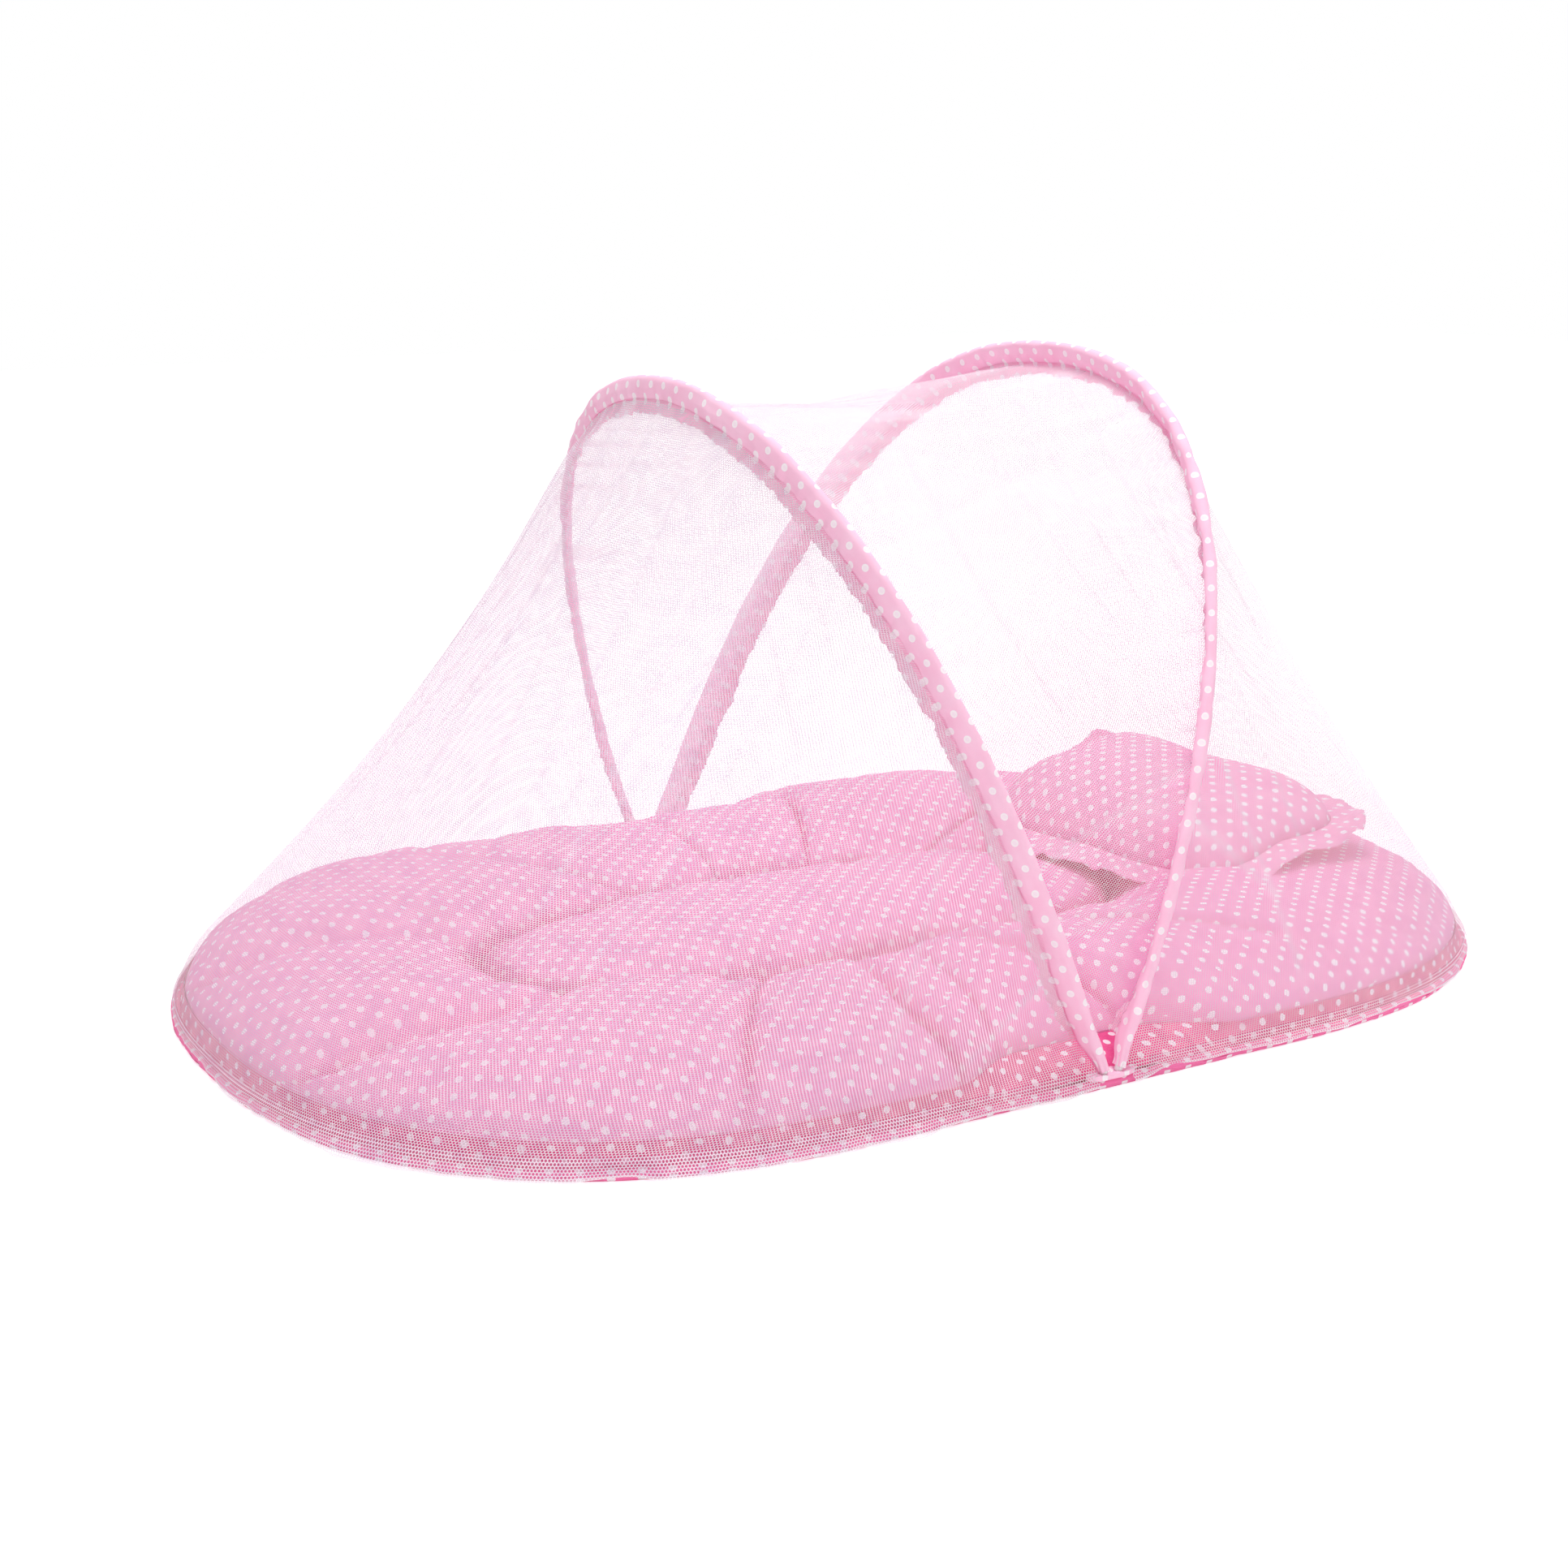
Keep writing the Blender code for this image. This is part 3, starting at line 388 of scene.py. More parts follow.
class Finish:
    """A material whose shader takes fixed numbers by name, and varying ones through set()."""

    def __init__(self, name, **fixed):
        self.material = bpy.data.materials.new(name)
        self.material.use_nodes = True
        self.tree = self.material.node_tree
        self.shader = self.tree.nodes["Principled BSDF"]
        for label, value in fixed.items():
            self.shader.inputs[label.replace("_", " ")].default_value = value

    def node(self, kind, settings, values, output=0):
        made = self.tree.nodes.new(kind)
        for key, value in settings.items():
            setattr(made, key, value)
        for key, value in values.items():
            if isinstance(value, Value):
                self.tree.links.new(value.socket, made.inputs[key])
            else:
                made.inputs[key].default_value = value
        return Value(self, made.outputs[output])

    def set(self, label, value):
        self.tree.links.new(value.socket, self.shader.inputs[label])

    def cloth_place(self):
        """The two flat coordinates of a piece's own cloth, in metres."""
        uv = self.node("ShaderNodeUVMap", {"uv_map": "cloth"}, {})
        u = self.node("ShaderNodeSeparateXYZ", {}, {0: uv})
        return uv, u, Value(self, u.socket.node.outputs[1])

    def object_place(self):
        """The place on the piece, and its share along the bed."""
        where = self.node("ShaderNodeTexCoord", {}, {}, "Object")
        return where, self.node("ShaderNodeSeparateXYZ", {}, {0: where})

    def noise(self, vector, scale, detail=2.0, roughness=0.5):
        values = {"Vector": vector, "Scale": scale, "Detail": detail, "Roughness": roughness}
        return self.node("ShaderNodeTexNoise", {}, values)

    def mix(self, factor, first, second):
        settings = {"data_type": "RGBA", "clamp_factor": True}
        values = {MIX_FACTOR: factor, MIX_FIRST: first, MIX_SECOND: second}
        return self.node("ShaderNodeMix", settings, values, MIX_RESULT)

    def bump(self, height, distance, strength=1.0, under=None):
        values = {"Height": height, "Distance": distance, "Strength": strength}
        if under is not None:
            values["Normal"] = under
        return self.node("ShaderNodeBump", {}, values)

    def attribute(self, label):
        return self.node("ShaderNodeAttribute", {"attribute_name": label}, {}, "Fac")


def rgb(red, green, blue):
    """A screen's colour, in parts from 0 to 255, as the shader takes it."""
    parts = [c / 255 for c in (red, green, blue)]
    return tuple(c / 12.92 if c <= 0.04045 else ((c + 0.055) / 1.055) ** 2.4 for c in parts) + (1.0,)


DOT_SPACING = 0.020
DOT_ROW_SHARE = 0.47
DOT_RADIUS = 0.0028
DOT_BLUR = 0.0003
DOT_INK = (253, 248, 252)
DOT_WORN = (240, 222, 235)
YARN_PITCH = 0.00042
COARSE_YARN_PITCH = 0.0007
# Painted shade: the mattress cloth turns deeper pink towards the channel round the middle pad
CHANNEL_PAINTED_SHADE = (212, 66, 130)
CHANNEL_PAINTED_SHADE_REACH = 0.030
# Painted shade: deeper pink along the bottoms of folds and in the gusset's fold hollows
FOLD_PAINTED_SHADE = (216, 66, 134)
STITCH_SHADE = (190, 54, 110)
STRAND_PALE = (255, 240, 247)
STRAND_PITCH = 0.0021
# Painted light: a faint pink glow that lifts and saturates the cloth's shade, in place of light that
# passes through the dyed cotton
PAINTED_GLOW = (236, 56, 134)
PAINTED_GLOW_STRENGTH = 0.13


def weave_height(u, v, pitch=YARN_PITCH):
    """Plain weave: rows of yarn that pass over and under each other."""
    turn = 2 * math.pi / pitch
    return (u * turn).sine() * (v * turn).sine()


def dot_mask(u, v, radius):
    """Staggered rows of round dots, and the distance to the nearest dot's middle."""
    spacing, row_height = DOT_SPACING, DOT_SPACING * DOT_ROW_SHARE
    row = (v / row_height).floor()
    shifted = u / spacing + (row % 2.0) * 0.5
    across = (shifted - shifted.floor() - 0.5) * spacing
    up = (v / row_height - row - 0.5) * row_height
    away = (across * across + up * up).root()
    return away.step(radius + DOT_BLUR, radius - DOT_BLUR), away


def dotted_cloth(name, ground, shade, dot=DOT_INK, radius=DOT_RADIUS, stitched_and_shaded=False, frayed=False):
    """Brushed cotton printed with white dots, with a visible weave, slubs and a little rubbing, and a
    faint pink glow of painted light; stitched pieces also get painted shade by their channels and
    creases.
    """
    finish = Finish(name, Roughness=0.88, Sheen_Weight=0.06, Sheen_Roughness=0.5, Specular_IOR_Level=0.18)
    # The cloth glows faintly, painted light that lifts its shade
    finish.shader.inputs["Emission Strength"].default_value = PAINTED_GLOW_STRENGTH
    uv, u, v = finish.cloth_place()
    dots, away = dot_mask(u, v, radius)
    cloudy = finish.noise(uv, 38.0, 3.0)
    slub = finish.noise(uv, 900.0, 2.0)
    base = finish.mix(cloudy.step(0.3, 0.75), rgb(*ground), rgb(*shade))
    base = finish.mix(slub.step(0.5, 0.8) * 0.14, base, rgb(*dot))
    centre = away.step(radius * 0.85, radius * 0.45)
    printed = finish.mix(centre * 0.35, rgb(*dot), rgb(*DOT_WORN))
    worn = dots * (1.0 - slub.step(0.62, 0.8) * 0.35)
    colour = finish.mix(worn, base, printed)
    weave = weave_height(u, v)
    relief = finish.bump(weave + slub * 0.8 + dots * 0.6, 0.00012, 0.55)
    if stitched_and_shaded:
        seam = finish.attribute("seam")
        # Painted shade, deeper towards the channel seam
        colour = finish.mix(seam.step(CHANNEL_PAINTED_SHADE_REACH, 0.001) * 0.75, colour, rgb(*CHANNEL_PAINTED_SHADE))
        # Painted shade along the creases
        painted_crease_shade = finish.attribute("painted_crease_shade")
        colour = finish.mix(painted_crease_shade * painted_crease_shade * 0.85, colour, rgb(*FOLD_PAINTED_SHADE))
        colour = finish.mix(seam.step(0.0014, 0.0006) * 0.7, colour, rgb(*STITCH_SHADE))
        relief = finish.bump(seam.step(0.0, 0.004), 0.0015, 0.7, relief)
    if frayed:
        slant = u + v * 0.85 + cloudy * 0.0012
        strands = (slant * (2 * math.pi / STRAND_PITCH)).sine().step(-0.2, 0.9)
        colour = finish.mix(strands * 0.55, colour, rgb(*STRAND_PALE))
        relief = finish.bump(strands, 0.0006, 0.7, relief)
    finish.set("Base Color", colour)
    finish.set("Normal", relief)
    finish.set("Roughness", 0.9 - dots * 0.12 + slub * 0.08)
    # Painted glow: pink on the cloth, whiter on the dots
    finish.set("Emission Color", finish.mix(dots * 0.5, rgb(*PAINTED_GLOW), rgb(*dot)))
    return finish


def plain_cloth(name, ground, shade):
    """Undyed or plainly dyed cloth of a coarser weave."""
    finish = Finish(name, Roughness=0.85, Sheen_Weight=0.2, Specular_IOR_Level=0.25)
    uv, u, v = finish.cloth_place()
    cloudy = finish.noise(uv, 60.0, 3.0)
    finish.set("Base Color", finish.mix(cloudy.step(0.3, 0.75), rgb(*ground), rgb(*shade)))
    finish.set("Normal", finish.bump(weave_height(u, v, COARSE_YARN_PITCH), 0.00015, 0.7))
    finish.set("Roughness", 0.8 + cloudy * 0.15)
    return finish


NET_PITCH = 0.0020
THREAD = 0.00047
# Far out from the hoops' feet, towards both ends, the net is closer and more lilac
THREAD_SWELL = 0.00008
FEET_MIDDLE = 0.10
FAR_OUT_FROM, FAR_OUT_TO = 0.14, 0.38
NET_PALE = ((251, 245, 250), (243, 234, 244))
NET_LILAC = ((243, 229, 241), (231, 214, 233))
HEM_WHITE = (252, 248, 253)


def net_finish(name):
    """Knitted net: a honeycomb of fine pale threads with open holes, closer where gathered or hemmed."""
    finish = Finish(name, Roughness=0.6, Sheen_Weight=0.1, Specular_IOR_Level=0.25)
    uv, u, v = finish.cloth_place()
    gather = finish.attribute("gather")
    hem = finish.attribute("hem")
    across, up = NET_PITCH, NET_PITCH * math.sqrt(3)
    cells = []
    for shift in (0.0, 0.5):
        x = ((u / across + shift) % 1.0 - 0.5) * across
        y = ((v / up + shift) % 1.0 - 0.5) * up
        cells.append((abs(x), abs(y), x * x + y * y))
    nearer = (cells[0][2] - cells[1][2]).step(0.000000002, -0.000000002)
    x, y = [near * nearer + far * (1.0 - nearer) for near, far in zip(cells[0][:2], cells[1][:2])]
    _, along_bed = finish.object_place()
    far_out = abs(along_bed - FEET_MIDDLE).step(FAR_OUT_FROM, FAR_OUT_TO)
    to_thread = NET_PITCH / 2 - x.most(x * 0.5 + y * (math.sqrt(3) / 2))
    thread = (to_thread - far_out * THREAD_SWELL).step(THREAD * 0.65, THREAD * 0.35)
    cover = (thread * 0.86 + gather * 0.55).least(1.0)
    finish.set("Alpha", cover.most(hem * 0.8))
    drift = finish.noise(uv, 70.0, 2.0).step(0.35, 0.7)
    pale, lilac = [finish.mix(drift, rgb(*light), rgb(*dark)) for light, dark in (NET_PALE, NET_LILAC)]
    finish.set("Base Color", finish.mix(hem, finish.mix(far_out, pale, lilac), rgb(*HEM_WHITE)))
    finish.set("Normal", finish.bump(thread + gather * 0.5, 0.0002, 0.5))
    finish.material.use_backface_culling = False
    return finish


TAPE_SELVEDGE = 0.0006
TAPE_RIB_PITCH = 0.0011
TAPE_ZIGZAG = 0.004
TAPE_PINK = (252, 170, 206)
TAPE_SOILED = (248, 150, 194)


def tape_finish(name):
    """Narrow sheer tape: fine zigzag ribs of pale pink yarn with open gaps, and a closer selvedge."""
    finish = Finish(name, Roughness=0.8, Sheen_Weight=0.1, Specular_IOR_Level=0.2)
    uv, u, v = finish.cloth_place()
    slant = abs((v / TAPE_ZIGZAG) % 1.0 - 0.5) * TAPE_ZIGZAG
    rib = ((u + slant) * (2 * math.pi / TAPE_RIB_PITCH)).sine()
    soiling = finish.noise(uv, 90.0, 3.0)
    soiled = soiling.step(0.45, 0.8) * 0.5
    finish.set("Base Color", finish.mix(soiled, rgb(*TAPE_PINK), rgb(*TAPE_SOILED)))
    selvedge = abs(v - TAPE_SELVEDGE).step(TAPE_SELVEDGE, TAPE_SELVEDGE / 2)
    finish.set("Alpha", (rib.step(-0.5, 0.7) * 0.20 + 0.04).most(selvedge * 0.3))
    finish.set("Normal", finish.bump(rib + selvedge * 1.5, 0.0002, 0.6))
    finish.set("Roughness", 0.74 + soiling * 0.15)
    return finish


def rigid_finish(name, colour, worn, roughness, metallic, grain):
    """Moulded, drawn or enamelled parts, with fine grain and rubbed places."""
    finish = Finish(name, Roughness=roughness, Metallic=metallic)
    where, _ = finish.object_place()
    rubbed = finish.noise(where, 220.0, 4.0, 0.65)
    fine = finish.noise(where, grain, 3.0)
    finish.set("Base Color", finish.mix(rubbed.step(0.5, 0.75) * 0.7, rgb(*colour), rgb(*worn)))
    finish.set("Roughness", roughness + (fine - 0.5) * 0.25)
    finish.set("Normal", finish.bump(fine, 0.00004, 0.4))
    return finish


PINK = dotted_cloth("pink_dotted_cotton", (255, 207, 231), (255, 216, 237))
DEEP_PINK = dotted_cloth("deep_pink_dotted_cotton", (248, 122, 176), (250, 138, 188))
MATTRESS_PINK = dotted_cloth(
    "mattress_dotted_cotton",
    (247, 151, 204),
    (251, 164, 213),
    dot=(255, 245, 251),
    radius=0.0027,
    stitched_and_shaded=True,
)
# The same cotton as the mattress, coloured deeper pink: painted shade under the mattress's edge
GUSSET = dotted_cloth("gusset_dotted_cotton", (230, 78, 142), (244, 112, 168), stitched_and_shaded=True)
FLANGE = dotted_cloth("frayed_seam_cotton", (252, 184, 216), (253, 200, 226), frayed=True)
PILLOW_PINK = dotted_cloth("pillow_dotted_cotton", (249, 164, 208), (251, 177, 216))
LINING = plain_cloth("plain_pink_lining", (240, 150, 188), (248, 170, 204))
THREAD_WHITE = plain_cloth("loose_white_thread", (250, 244, 250), (240, 228, 240))
NET = net_finish("honeycomb_net")
TAPE = tape_finish("white_woven_tape")
STEEL = rigid_finish("drawn_spring_steel", (176, 178, 184), (120, 120, 126), 0.34, 1.0, 1800.0)
COIL = rigid_finish("pale_nylon_coil", (248, 150, 194), (244, 138, 186), 0.45, 0.0, 2600.0)
PLASTIC = rigid_finish("moulded_white_plastic", (236, 236, 236), (222, 218, 220), 0.42, 0.0, 2600.0)
ENAMEL = rigid_finish("enamelled_zip_metal", (240, 238, 241), (206, 198, 206), 0.36, 0.15, 2400.0)


def wear(mesh, finish):
    mesh.materials.clear()
    mesh.materials.append(finish.material)


def dress(obj, finish, body=None, stands_for=()):
    """Gives a piece its finish, the body that it rides on and the parts that it stands for."""
    wear(obj.data, finish)
    if body:
        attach(obj, body)
    if stands_for:
        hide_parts(*stands_for)
    return obj


# Mattress

SIDE_FROM = BED_WIDTH / 4
CREST_WAVE = 0.003
# How full a stuffed part stands: how flat its top is, and how steep its edge
PLAIN_PAD_SWELL = (3.0, 0.55)
PLAIN_INNER_SWELL = (2.6, 0.6)
PAD_SWELL = (3.0, 0.6)
INNER_SWELL = (2.2, 0.72)
OUTER_SWELL = (2.4, 0.62)


def waist(x):
    """How far the mattress is drawn in beside the hoops' feet."""
    return WAIST_DEPTH * (1 - smoothstep(WAIST_FLAT_HALF, WAIST_END_HALF, np.abs(x)))


def mattress_line():
    distances = np.linspace(0, RIM.length, OUTLINE_STEPS, endpoint=False)
    points = RIM.at(distances) + RIM.inwards(distances) * MATTRESS_INSET
    draw = waist(points[:, 0]) * (np.abs(points[:, 1]) > SIDE_FROM)
    points[:, 1] -= np.sign(points[:, 1]) * draw
    return points


MATTRESS_LINE = mattress_line()


def edge_table():
    """Angles from the middle pad's centre and the mattress's reach at each."""
    x, y = (MATTRESS_LINE - PAD_CENTRE).T
    angles = np.arctan2(y, x)
    order = np.argsort(angles)
    angles, distances = angles[order], np.hypot(x, y)[order]
    angles = np.concatenate([angles[-1:] - 2 * math.pi, angles, angles[:1] + 2 * math.pi])
    return angles, np.concatenate([distances[-1:], distances, distances[:1]])


EDGE_ANGLES, EDGE_DISTANCES = edge_table()


def pad_radius(angle):
    c = np.abs(np.cos(angle) / PAD_HALF_LENGTH) ** PAD_POWER
    s = np.abs(np.sin(angle) / PAD_HALF_WIDTH) ** PAD_POWER
    return (c + s) ** (-1 / PAD_POWER)


def swell(share, flatness, fullness):
    """How far stuffing stands up: 1 in the middle and 0 at the seam."""
    return np.maximum(1 - np.clip(share, 0, 1) ** flatness, 0) ** fullness


def crest_wave(angle):
    return CREST_WAVE * (np.sin(5 * angle + 1) + 0.7 * np.sin(9 * angle))


def over_bolster(share, low, top, edge, inner_swell):
    """The stuffed ring's height from its channel, over its crest, to its outer seam."""
    rise = swell((BOLSTER_CREST - share) / BOLSTER_CREST, *inner_swell)
    fall = swell((share - BOLSTER_CREST) / (1 - BOLSTER_CREST), *OUTER_SWELL)
    return np.where(share < BOLSTER_CREST, low + (top - low) * rise, edge + (top - edge) * fall)


def mattress_height(x, y):
    """The mattress's plain top that the net lies over, and whether the points are over the mattress."""
    dx, dy = x - PAD_CENTRE[0], y - PAD_CENTRE[1]
    angle, distance = np.arctan2(dy, dx), np.hypot(dx, dy)
    edge, pad = np.interp(angle, EDGE_ANGLES, EDGE_DISTANCES), pad_radius(angle)
    share = np.clip((distance - pad) / (edge - pad), 0, 1)
    top = MATTRESS_TOP + crest_wave(angle)
    over_ring = over_bolster(share, CHANNEL_HEIGHT, top, MATTRESS_EDGE_HEIGHT, PLAIN_INNER_SWELL)
    over_pad = CHANNEL_HEIGHT + (PAD_CROWN - CHANNEL_HEIGHT) * swell(distance / pad, *PLAIN_PAD_SWELL)
    return np.where(distance <= pad, over_pad, over_ring), distance <= edge


def square_rings(u, v):
    """A grid's corners as rings round its middle: each one's share of the way out, and its turn."""
    x, y = 2 * u - 1, 2 * v - 1
    ring = np.maximum(np.abs(x), np.abs(y))
    safe = np.where(ring > 0, ring, 1)
    x, y = x / safe, y / safe
    turn = np.where(np.abs(x) >= np.abs(y), np.where(x > 0, y, 4 - y), np.where(y > 0, 2 - x, 6 + x))
    return ring, (turn % 8) / 8


PAD_RING = 0.4
LOW_RING = 0.9
UNDER_INSET = 0.010
MATTRESS_CELLS = 140
PAD_RAY_STEPS, RING_RAY_STEPS = 40, 60
TOUCH = 0.001
CHANNEL_DROP = 0.001
CHANNEL_RISE, CHANNEL_RISE_SPREAD = 0.006, 0.40
EDGE_DROP = 0.001
CREST_DROP = 0.0045
PAD_LIFT = 0.002
# Ripples: how wide their bumps are, how high, and which draw of them
EDGE_LUMPS = (0.035, 0.004, 11)
CREST_LUMPS = (0.075, 0.0055, 12)
MATTRESS_PUCKER = (0.0105, 0.0018, 5)
MATTRESS_TUCK = (0.040, 0.0026, 10)
MATTRESS_SWAY = (0.090, 0.0026, 6)
MATTRESS_CRUMPLE = (0.036, 0.0003, 7)
MATTRESS_EDGE_FOLDS = (0.050, 0.0030, 8)
MATTRESS_EDGE_PUCKER = (0.014, 0.0007, 9)
PUCKER_REACH = 0.009
FOLD_FADE = 0.55
DEEP_FOLD_SPREAD = 0.05
# Folds over the stuffed ring: angle, depth, spread, slant, and how far out they reach
MATTRESS_FOLDS = (
    (2.89, 0.013, 0.090, 0.0, 2.0),
    (2.89, 0.018, 0.026, 0.0, 1.30),
    (3.44, 0.013, 0.080, -0.14, 2.0),
    (3.44, 0.020, 0.025, -0.14, 1.35),
    (2.25, 0.009, 0.030, 0.10, 1.05),
    (1.62, 0.007, 0.026, -0.12, 1.0),
    (1.05, 0.008, 0.026, 0.10, 1.0),
    (0.50, 0.006, 0.030, -0.10, 1.0),
    (-1.90, 0.015, 0.034, 0.14, 1.4),
    (-2.30, 0.008, 0.024, 0.10, 1.3),
    (-1.35, 0.014, 0.030, 0.10, 1.4),
    (-1.62, 0.007, 0.018, -0.06, 1.3),
    (-0.85, 0.007, 0.030, 0.12, 1.0),
)


def in_fold(share, angle, fold, spread, slant, reach):
    """How far into a slanting fold of the stuffed ring a point lies: 1 at its bottom."""
    apart = (angle - fold - slant * (share - 0.3) + math.pi) % (2 * math.pi) - math.pi
    return bell(apart, spread) * smoothstep(reach, reach - FOLD_FADE, share)


def fold_line(share, angle):
    """Where the sharp folds of the stuffed ring are caught down: 1 along their bottoms."""
    caught = np.zeros_like(angle)
    for fold, _, spread, slant, reach in MATTRESS_FOLDS:
        if spread < DEEP_FOLD_SPREAD:
            caught = np.maximum(caught, in_fold(share, angle, fold, spread * 0.8, slant, reach))
    return caught


def mattress_rings(u, v):
    """A grid's corners over the mattress: rings and angles, and the pad's and the edge's seams there."""
    ring, turn = square_rings(u, v)
    outline = Route(MATTRESS_LINE, closed=True)
    edge = outline.at(turn * outline.length)
    offset = edge - PAD_CENTRE
    angle = np.arctan2(offset[:, 1], offset[:, 0])
    pad = PAD_CENTRE + pad_radius(angle)[:, None] * np.stack([np.cos(angle), np.sin(angle)], -1)
    return ring, angle, pad, edge


def channel_height(angle):
    """The sewn line round the middle pad, shallower at the pad's foot end."""
    from_foot_end = np.abs((angle + 2 * math.pi) % (2 * math.pi) - math.pi)
    return CHANNEL_HEIGHT - CHANNEL_DROP + CHANNEL_RISE * bell(from_foot_end, CHANNEL_RISE_SPREAD)


def edge_height(angle):
    return MATTRESS_EDGE_HEIGHT - EDGE_DROP + ripple(angle * 0.5, 0.0, EDGE_LUMPS)


def bolster_form(share, angle, folded=True):
    """The stuffed ring as it looks, with folds that run out from the middle pad's corners."""
    top = MATTRESS_TOP - CREST_DROP + crest_wave(angle)
    top = top + ripple(angle * 0.3, share * 0.05, CREST_LUMPS)
    for fold, depth, spread, slant, reach in MATTRESS_FOLDS if folded else ():
        top = top - depth * in_fold(share, angle, fold, spread, slant, reach)
    edge = edge_height(angle) if folded else MATTRESS_EDGE_HEIGHT
    return over_bolster(share, channel_height(angle), top, edge, INNER_SWELL)


def stuffed_height(distance, angle, pad_length, ring_length, folded=True):
    """The form of the mattress's top by the distance from the middle pad's centre."""
    low = channel_height(angle)
    crown = low + (PAD_CROWN + PAD_LIFT - low) * swell(distance / pad_length, *PAD_SWELL)
    share = np.clip((distance - pad_length) / ring_length, 0, 1)
    return np.where(distance <= pad_length, crown, bolster_form(share, angle, folded))


def cloth_reach(reach, steps, height):
    """How long cloth is from the middle out to each point, over the heights at the steps of its ray."""
    lengths = np.hypot(np.diff(steps, axis=1), np.diff(height, axis=1))
    along = np.hstack([np.zeros((len(reach), 1)), np.cumsum(lengths, axis=1)])
    rows = np.arange(len(reach))
    last = np.clip((steps < reach[:, None]).sum(axis=1) - 1, 0, steps.shape[1] - 2)
    part = (reach - steps[rows, last]) / (steps[rows, last + 1] - steps[rows, last])
    return along[rows, last] + part * lengths[rows, last]


def mattress_top(u, v):
    """The padded top. Its cloth's flat place follows the plain form, which keeps the dots even."""
    ring, angle, pad, edge = mattress_rings(u, v)
    inner = ring < PAD_RING + TOUCH
    pad_share = np.clip(ring / PAD_RING, 0, 1)
    share = np.clip((ring - PAD_RING) / (1 - PAD_RING), 0, 1)
    share = share + 0.10 * np.sin(math.pi * share) * share
    inside = PAD_CENTRE + pad_share[:, None] * (pad - PAD_CENTRE)
    places = np.where(inner[:, None], inside, pad + share[:, None] * (edge - pad))
    x, y = places.T
    pad_length = np.linalg.norm(pad - PAD_CENTRE, axis=1)
    ring_length = np.linalg.norm(edge - pad, axis=1)
    reach = np.linalg.norm(places - PAD_CENTRE, axis=1)
    height = stuffed_height(reach, angle, pad_length, ring_length)
    ray = [value[:, None] for value in (angle, pad_length, ring_length)]
    over_pad = ray[1] * np.sin(np.linspace(0, math.pi / 2, PAD_RAY_STEPS))
    over_ring = ray[1] + ray[2] * (0.5 - 0.5 * np.cos(np.linspace(0, math.pi, RING_RAY_STEPS)[1:]))
    steps = np.hstack([over_pad, over_ring])
    flat_reach = cloth_reach(reach, steps, stuffed_height(steps, *ray, folded=False))
    cloth = flat_reach[:, None] * np.stack([np.cos(angle), np.sin(angle)], -1)
    from_seam = np.where(inner, (1 - pad_share) * pad_length, share * ring_length)
    to_edge = np.where(inner, 1.0, (1 - share) * ring_length)
    round_seam = pad_around(angle)
    side = np.where(inner, 0.0, 0.4)
    pucker = from_seam / PUCKER_REACH * np.exp(1 - from_seam / PUCKER_REACH)
    pucker *= ripple(round_seam, side, MATTRESS_PUCKER)
    tuck = ripple(round_seam, side, MATTRESS_TUCK) * np.exp(-from_seam / 0.035)
    folds = ripple(x * 0.6, y * 1.7, MATTRESS_SWAY) + ripple(x, y, MATTRESS_CRUMPLE)
    edge_folds = ripple(angle * 0.5, 0.0, MATTRESS_EDGE_FOLDS) * np.exp(-to_edge / 0.040)
    edge_folds += ripple(angle * 0.5, 0.0, MATTRESS_EDGE_PUCKER) * np.exp(-to_edge / 0.018)
    settle = smoothstep(0, 0.02, from_seam) * smoothstep(0, 0.014, to_edge)
    height = height + pucker * smoothstep(0, 0.01, to_edge) + (folds + edge_folds + tuck) * settle
    # Painted shade along the bottoms of the caught folds
    painted_crease_shade = np.where(inner, 0.0, fold_line(share, angle))
    return np.column_stack([places, height]), cloth, {"seam": from_seam, "painted_crease_shade": painted_crease_shade}


def pad_around(angle):
    """How far round the middle pad's seam an angle lies."""
    turns = np.linspace(-math.pi, math.pi, 1441)
    edge = pad_radius(turns)[:, None] * np.stack([np.cos(turns), np.sin(turns)], -1)
    return np.interp(angle, turns, Route(edge).along)


def mattress_underside(u, v):
    """The backing, turned up at the edge to meet the top's seam."""
    ring, angle, _, edge = mattress_rings(u, v)
    wall = np.clip((ring - LOW_RING) / (1 - LOW_RING), 0, 1)
    inset = UNDER_INSET * (1 - wall) ** 2
    towards = PAD_CENTRE - edge
    towards = towards / np.linalg.norm(towards, axis=1)[:, None]
    under = edge + towards * inset[:, None]
    flat = PAD_CENTRE + (ring / LOW_RING)[:, None] * (edge + towards * UNDER_INSET - PAD_CENTRE)
    places = np.where((ring >= LOW_RING)[:, None], under, flat)
    height = MATTRESS_BOTTOM + (edge_height(angle) - MATTRESS_BOTTOM) * wall**1.4
    cloth = places * np.array([1.0, -1.0])
    return np.column_stack([places, height]), cloth, {"seam": np.ones_like(ring), "painted_crease_shade": ring * 0}


STUFFING = {
    "quality": 5,
    "mass": 0.3,
    "tension_stiffness": 12,
    "compression_stiffness": 12,
    "shear_stiffness": 4,
    "bending_stiffness": 0.4,
    "use_pressure": True,
    "shrink_min": -0.035,
}
STUFFING_FRAMES = 20
STUFFING_PRESSURE = 3.0
STUFFING_REACH = 0.0045
SEAM_HOLD = 0.004
FOLD_HOLD = 0.8
EDGE_HOLD = (0.022, 0.008)


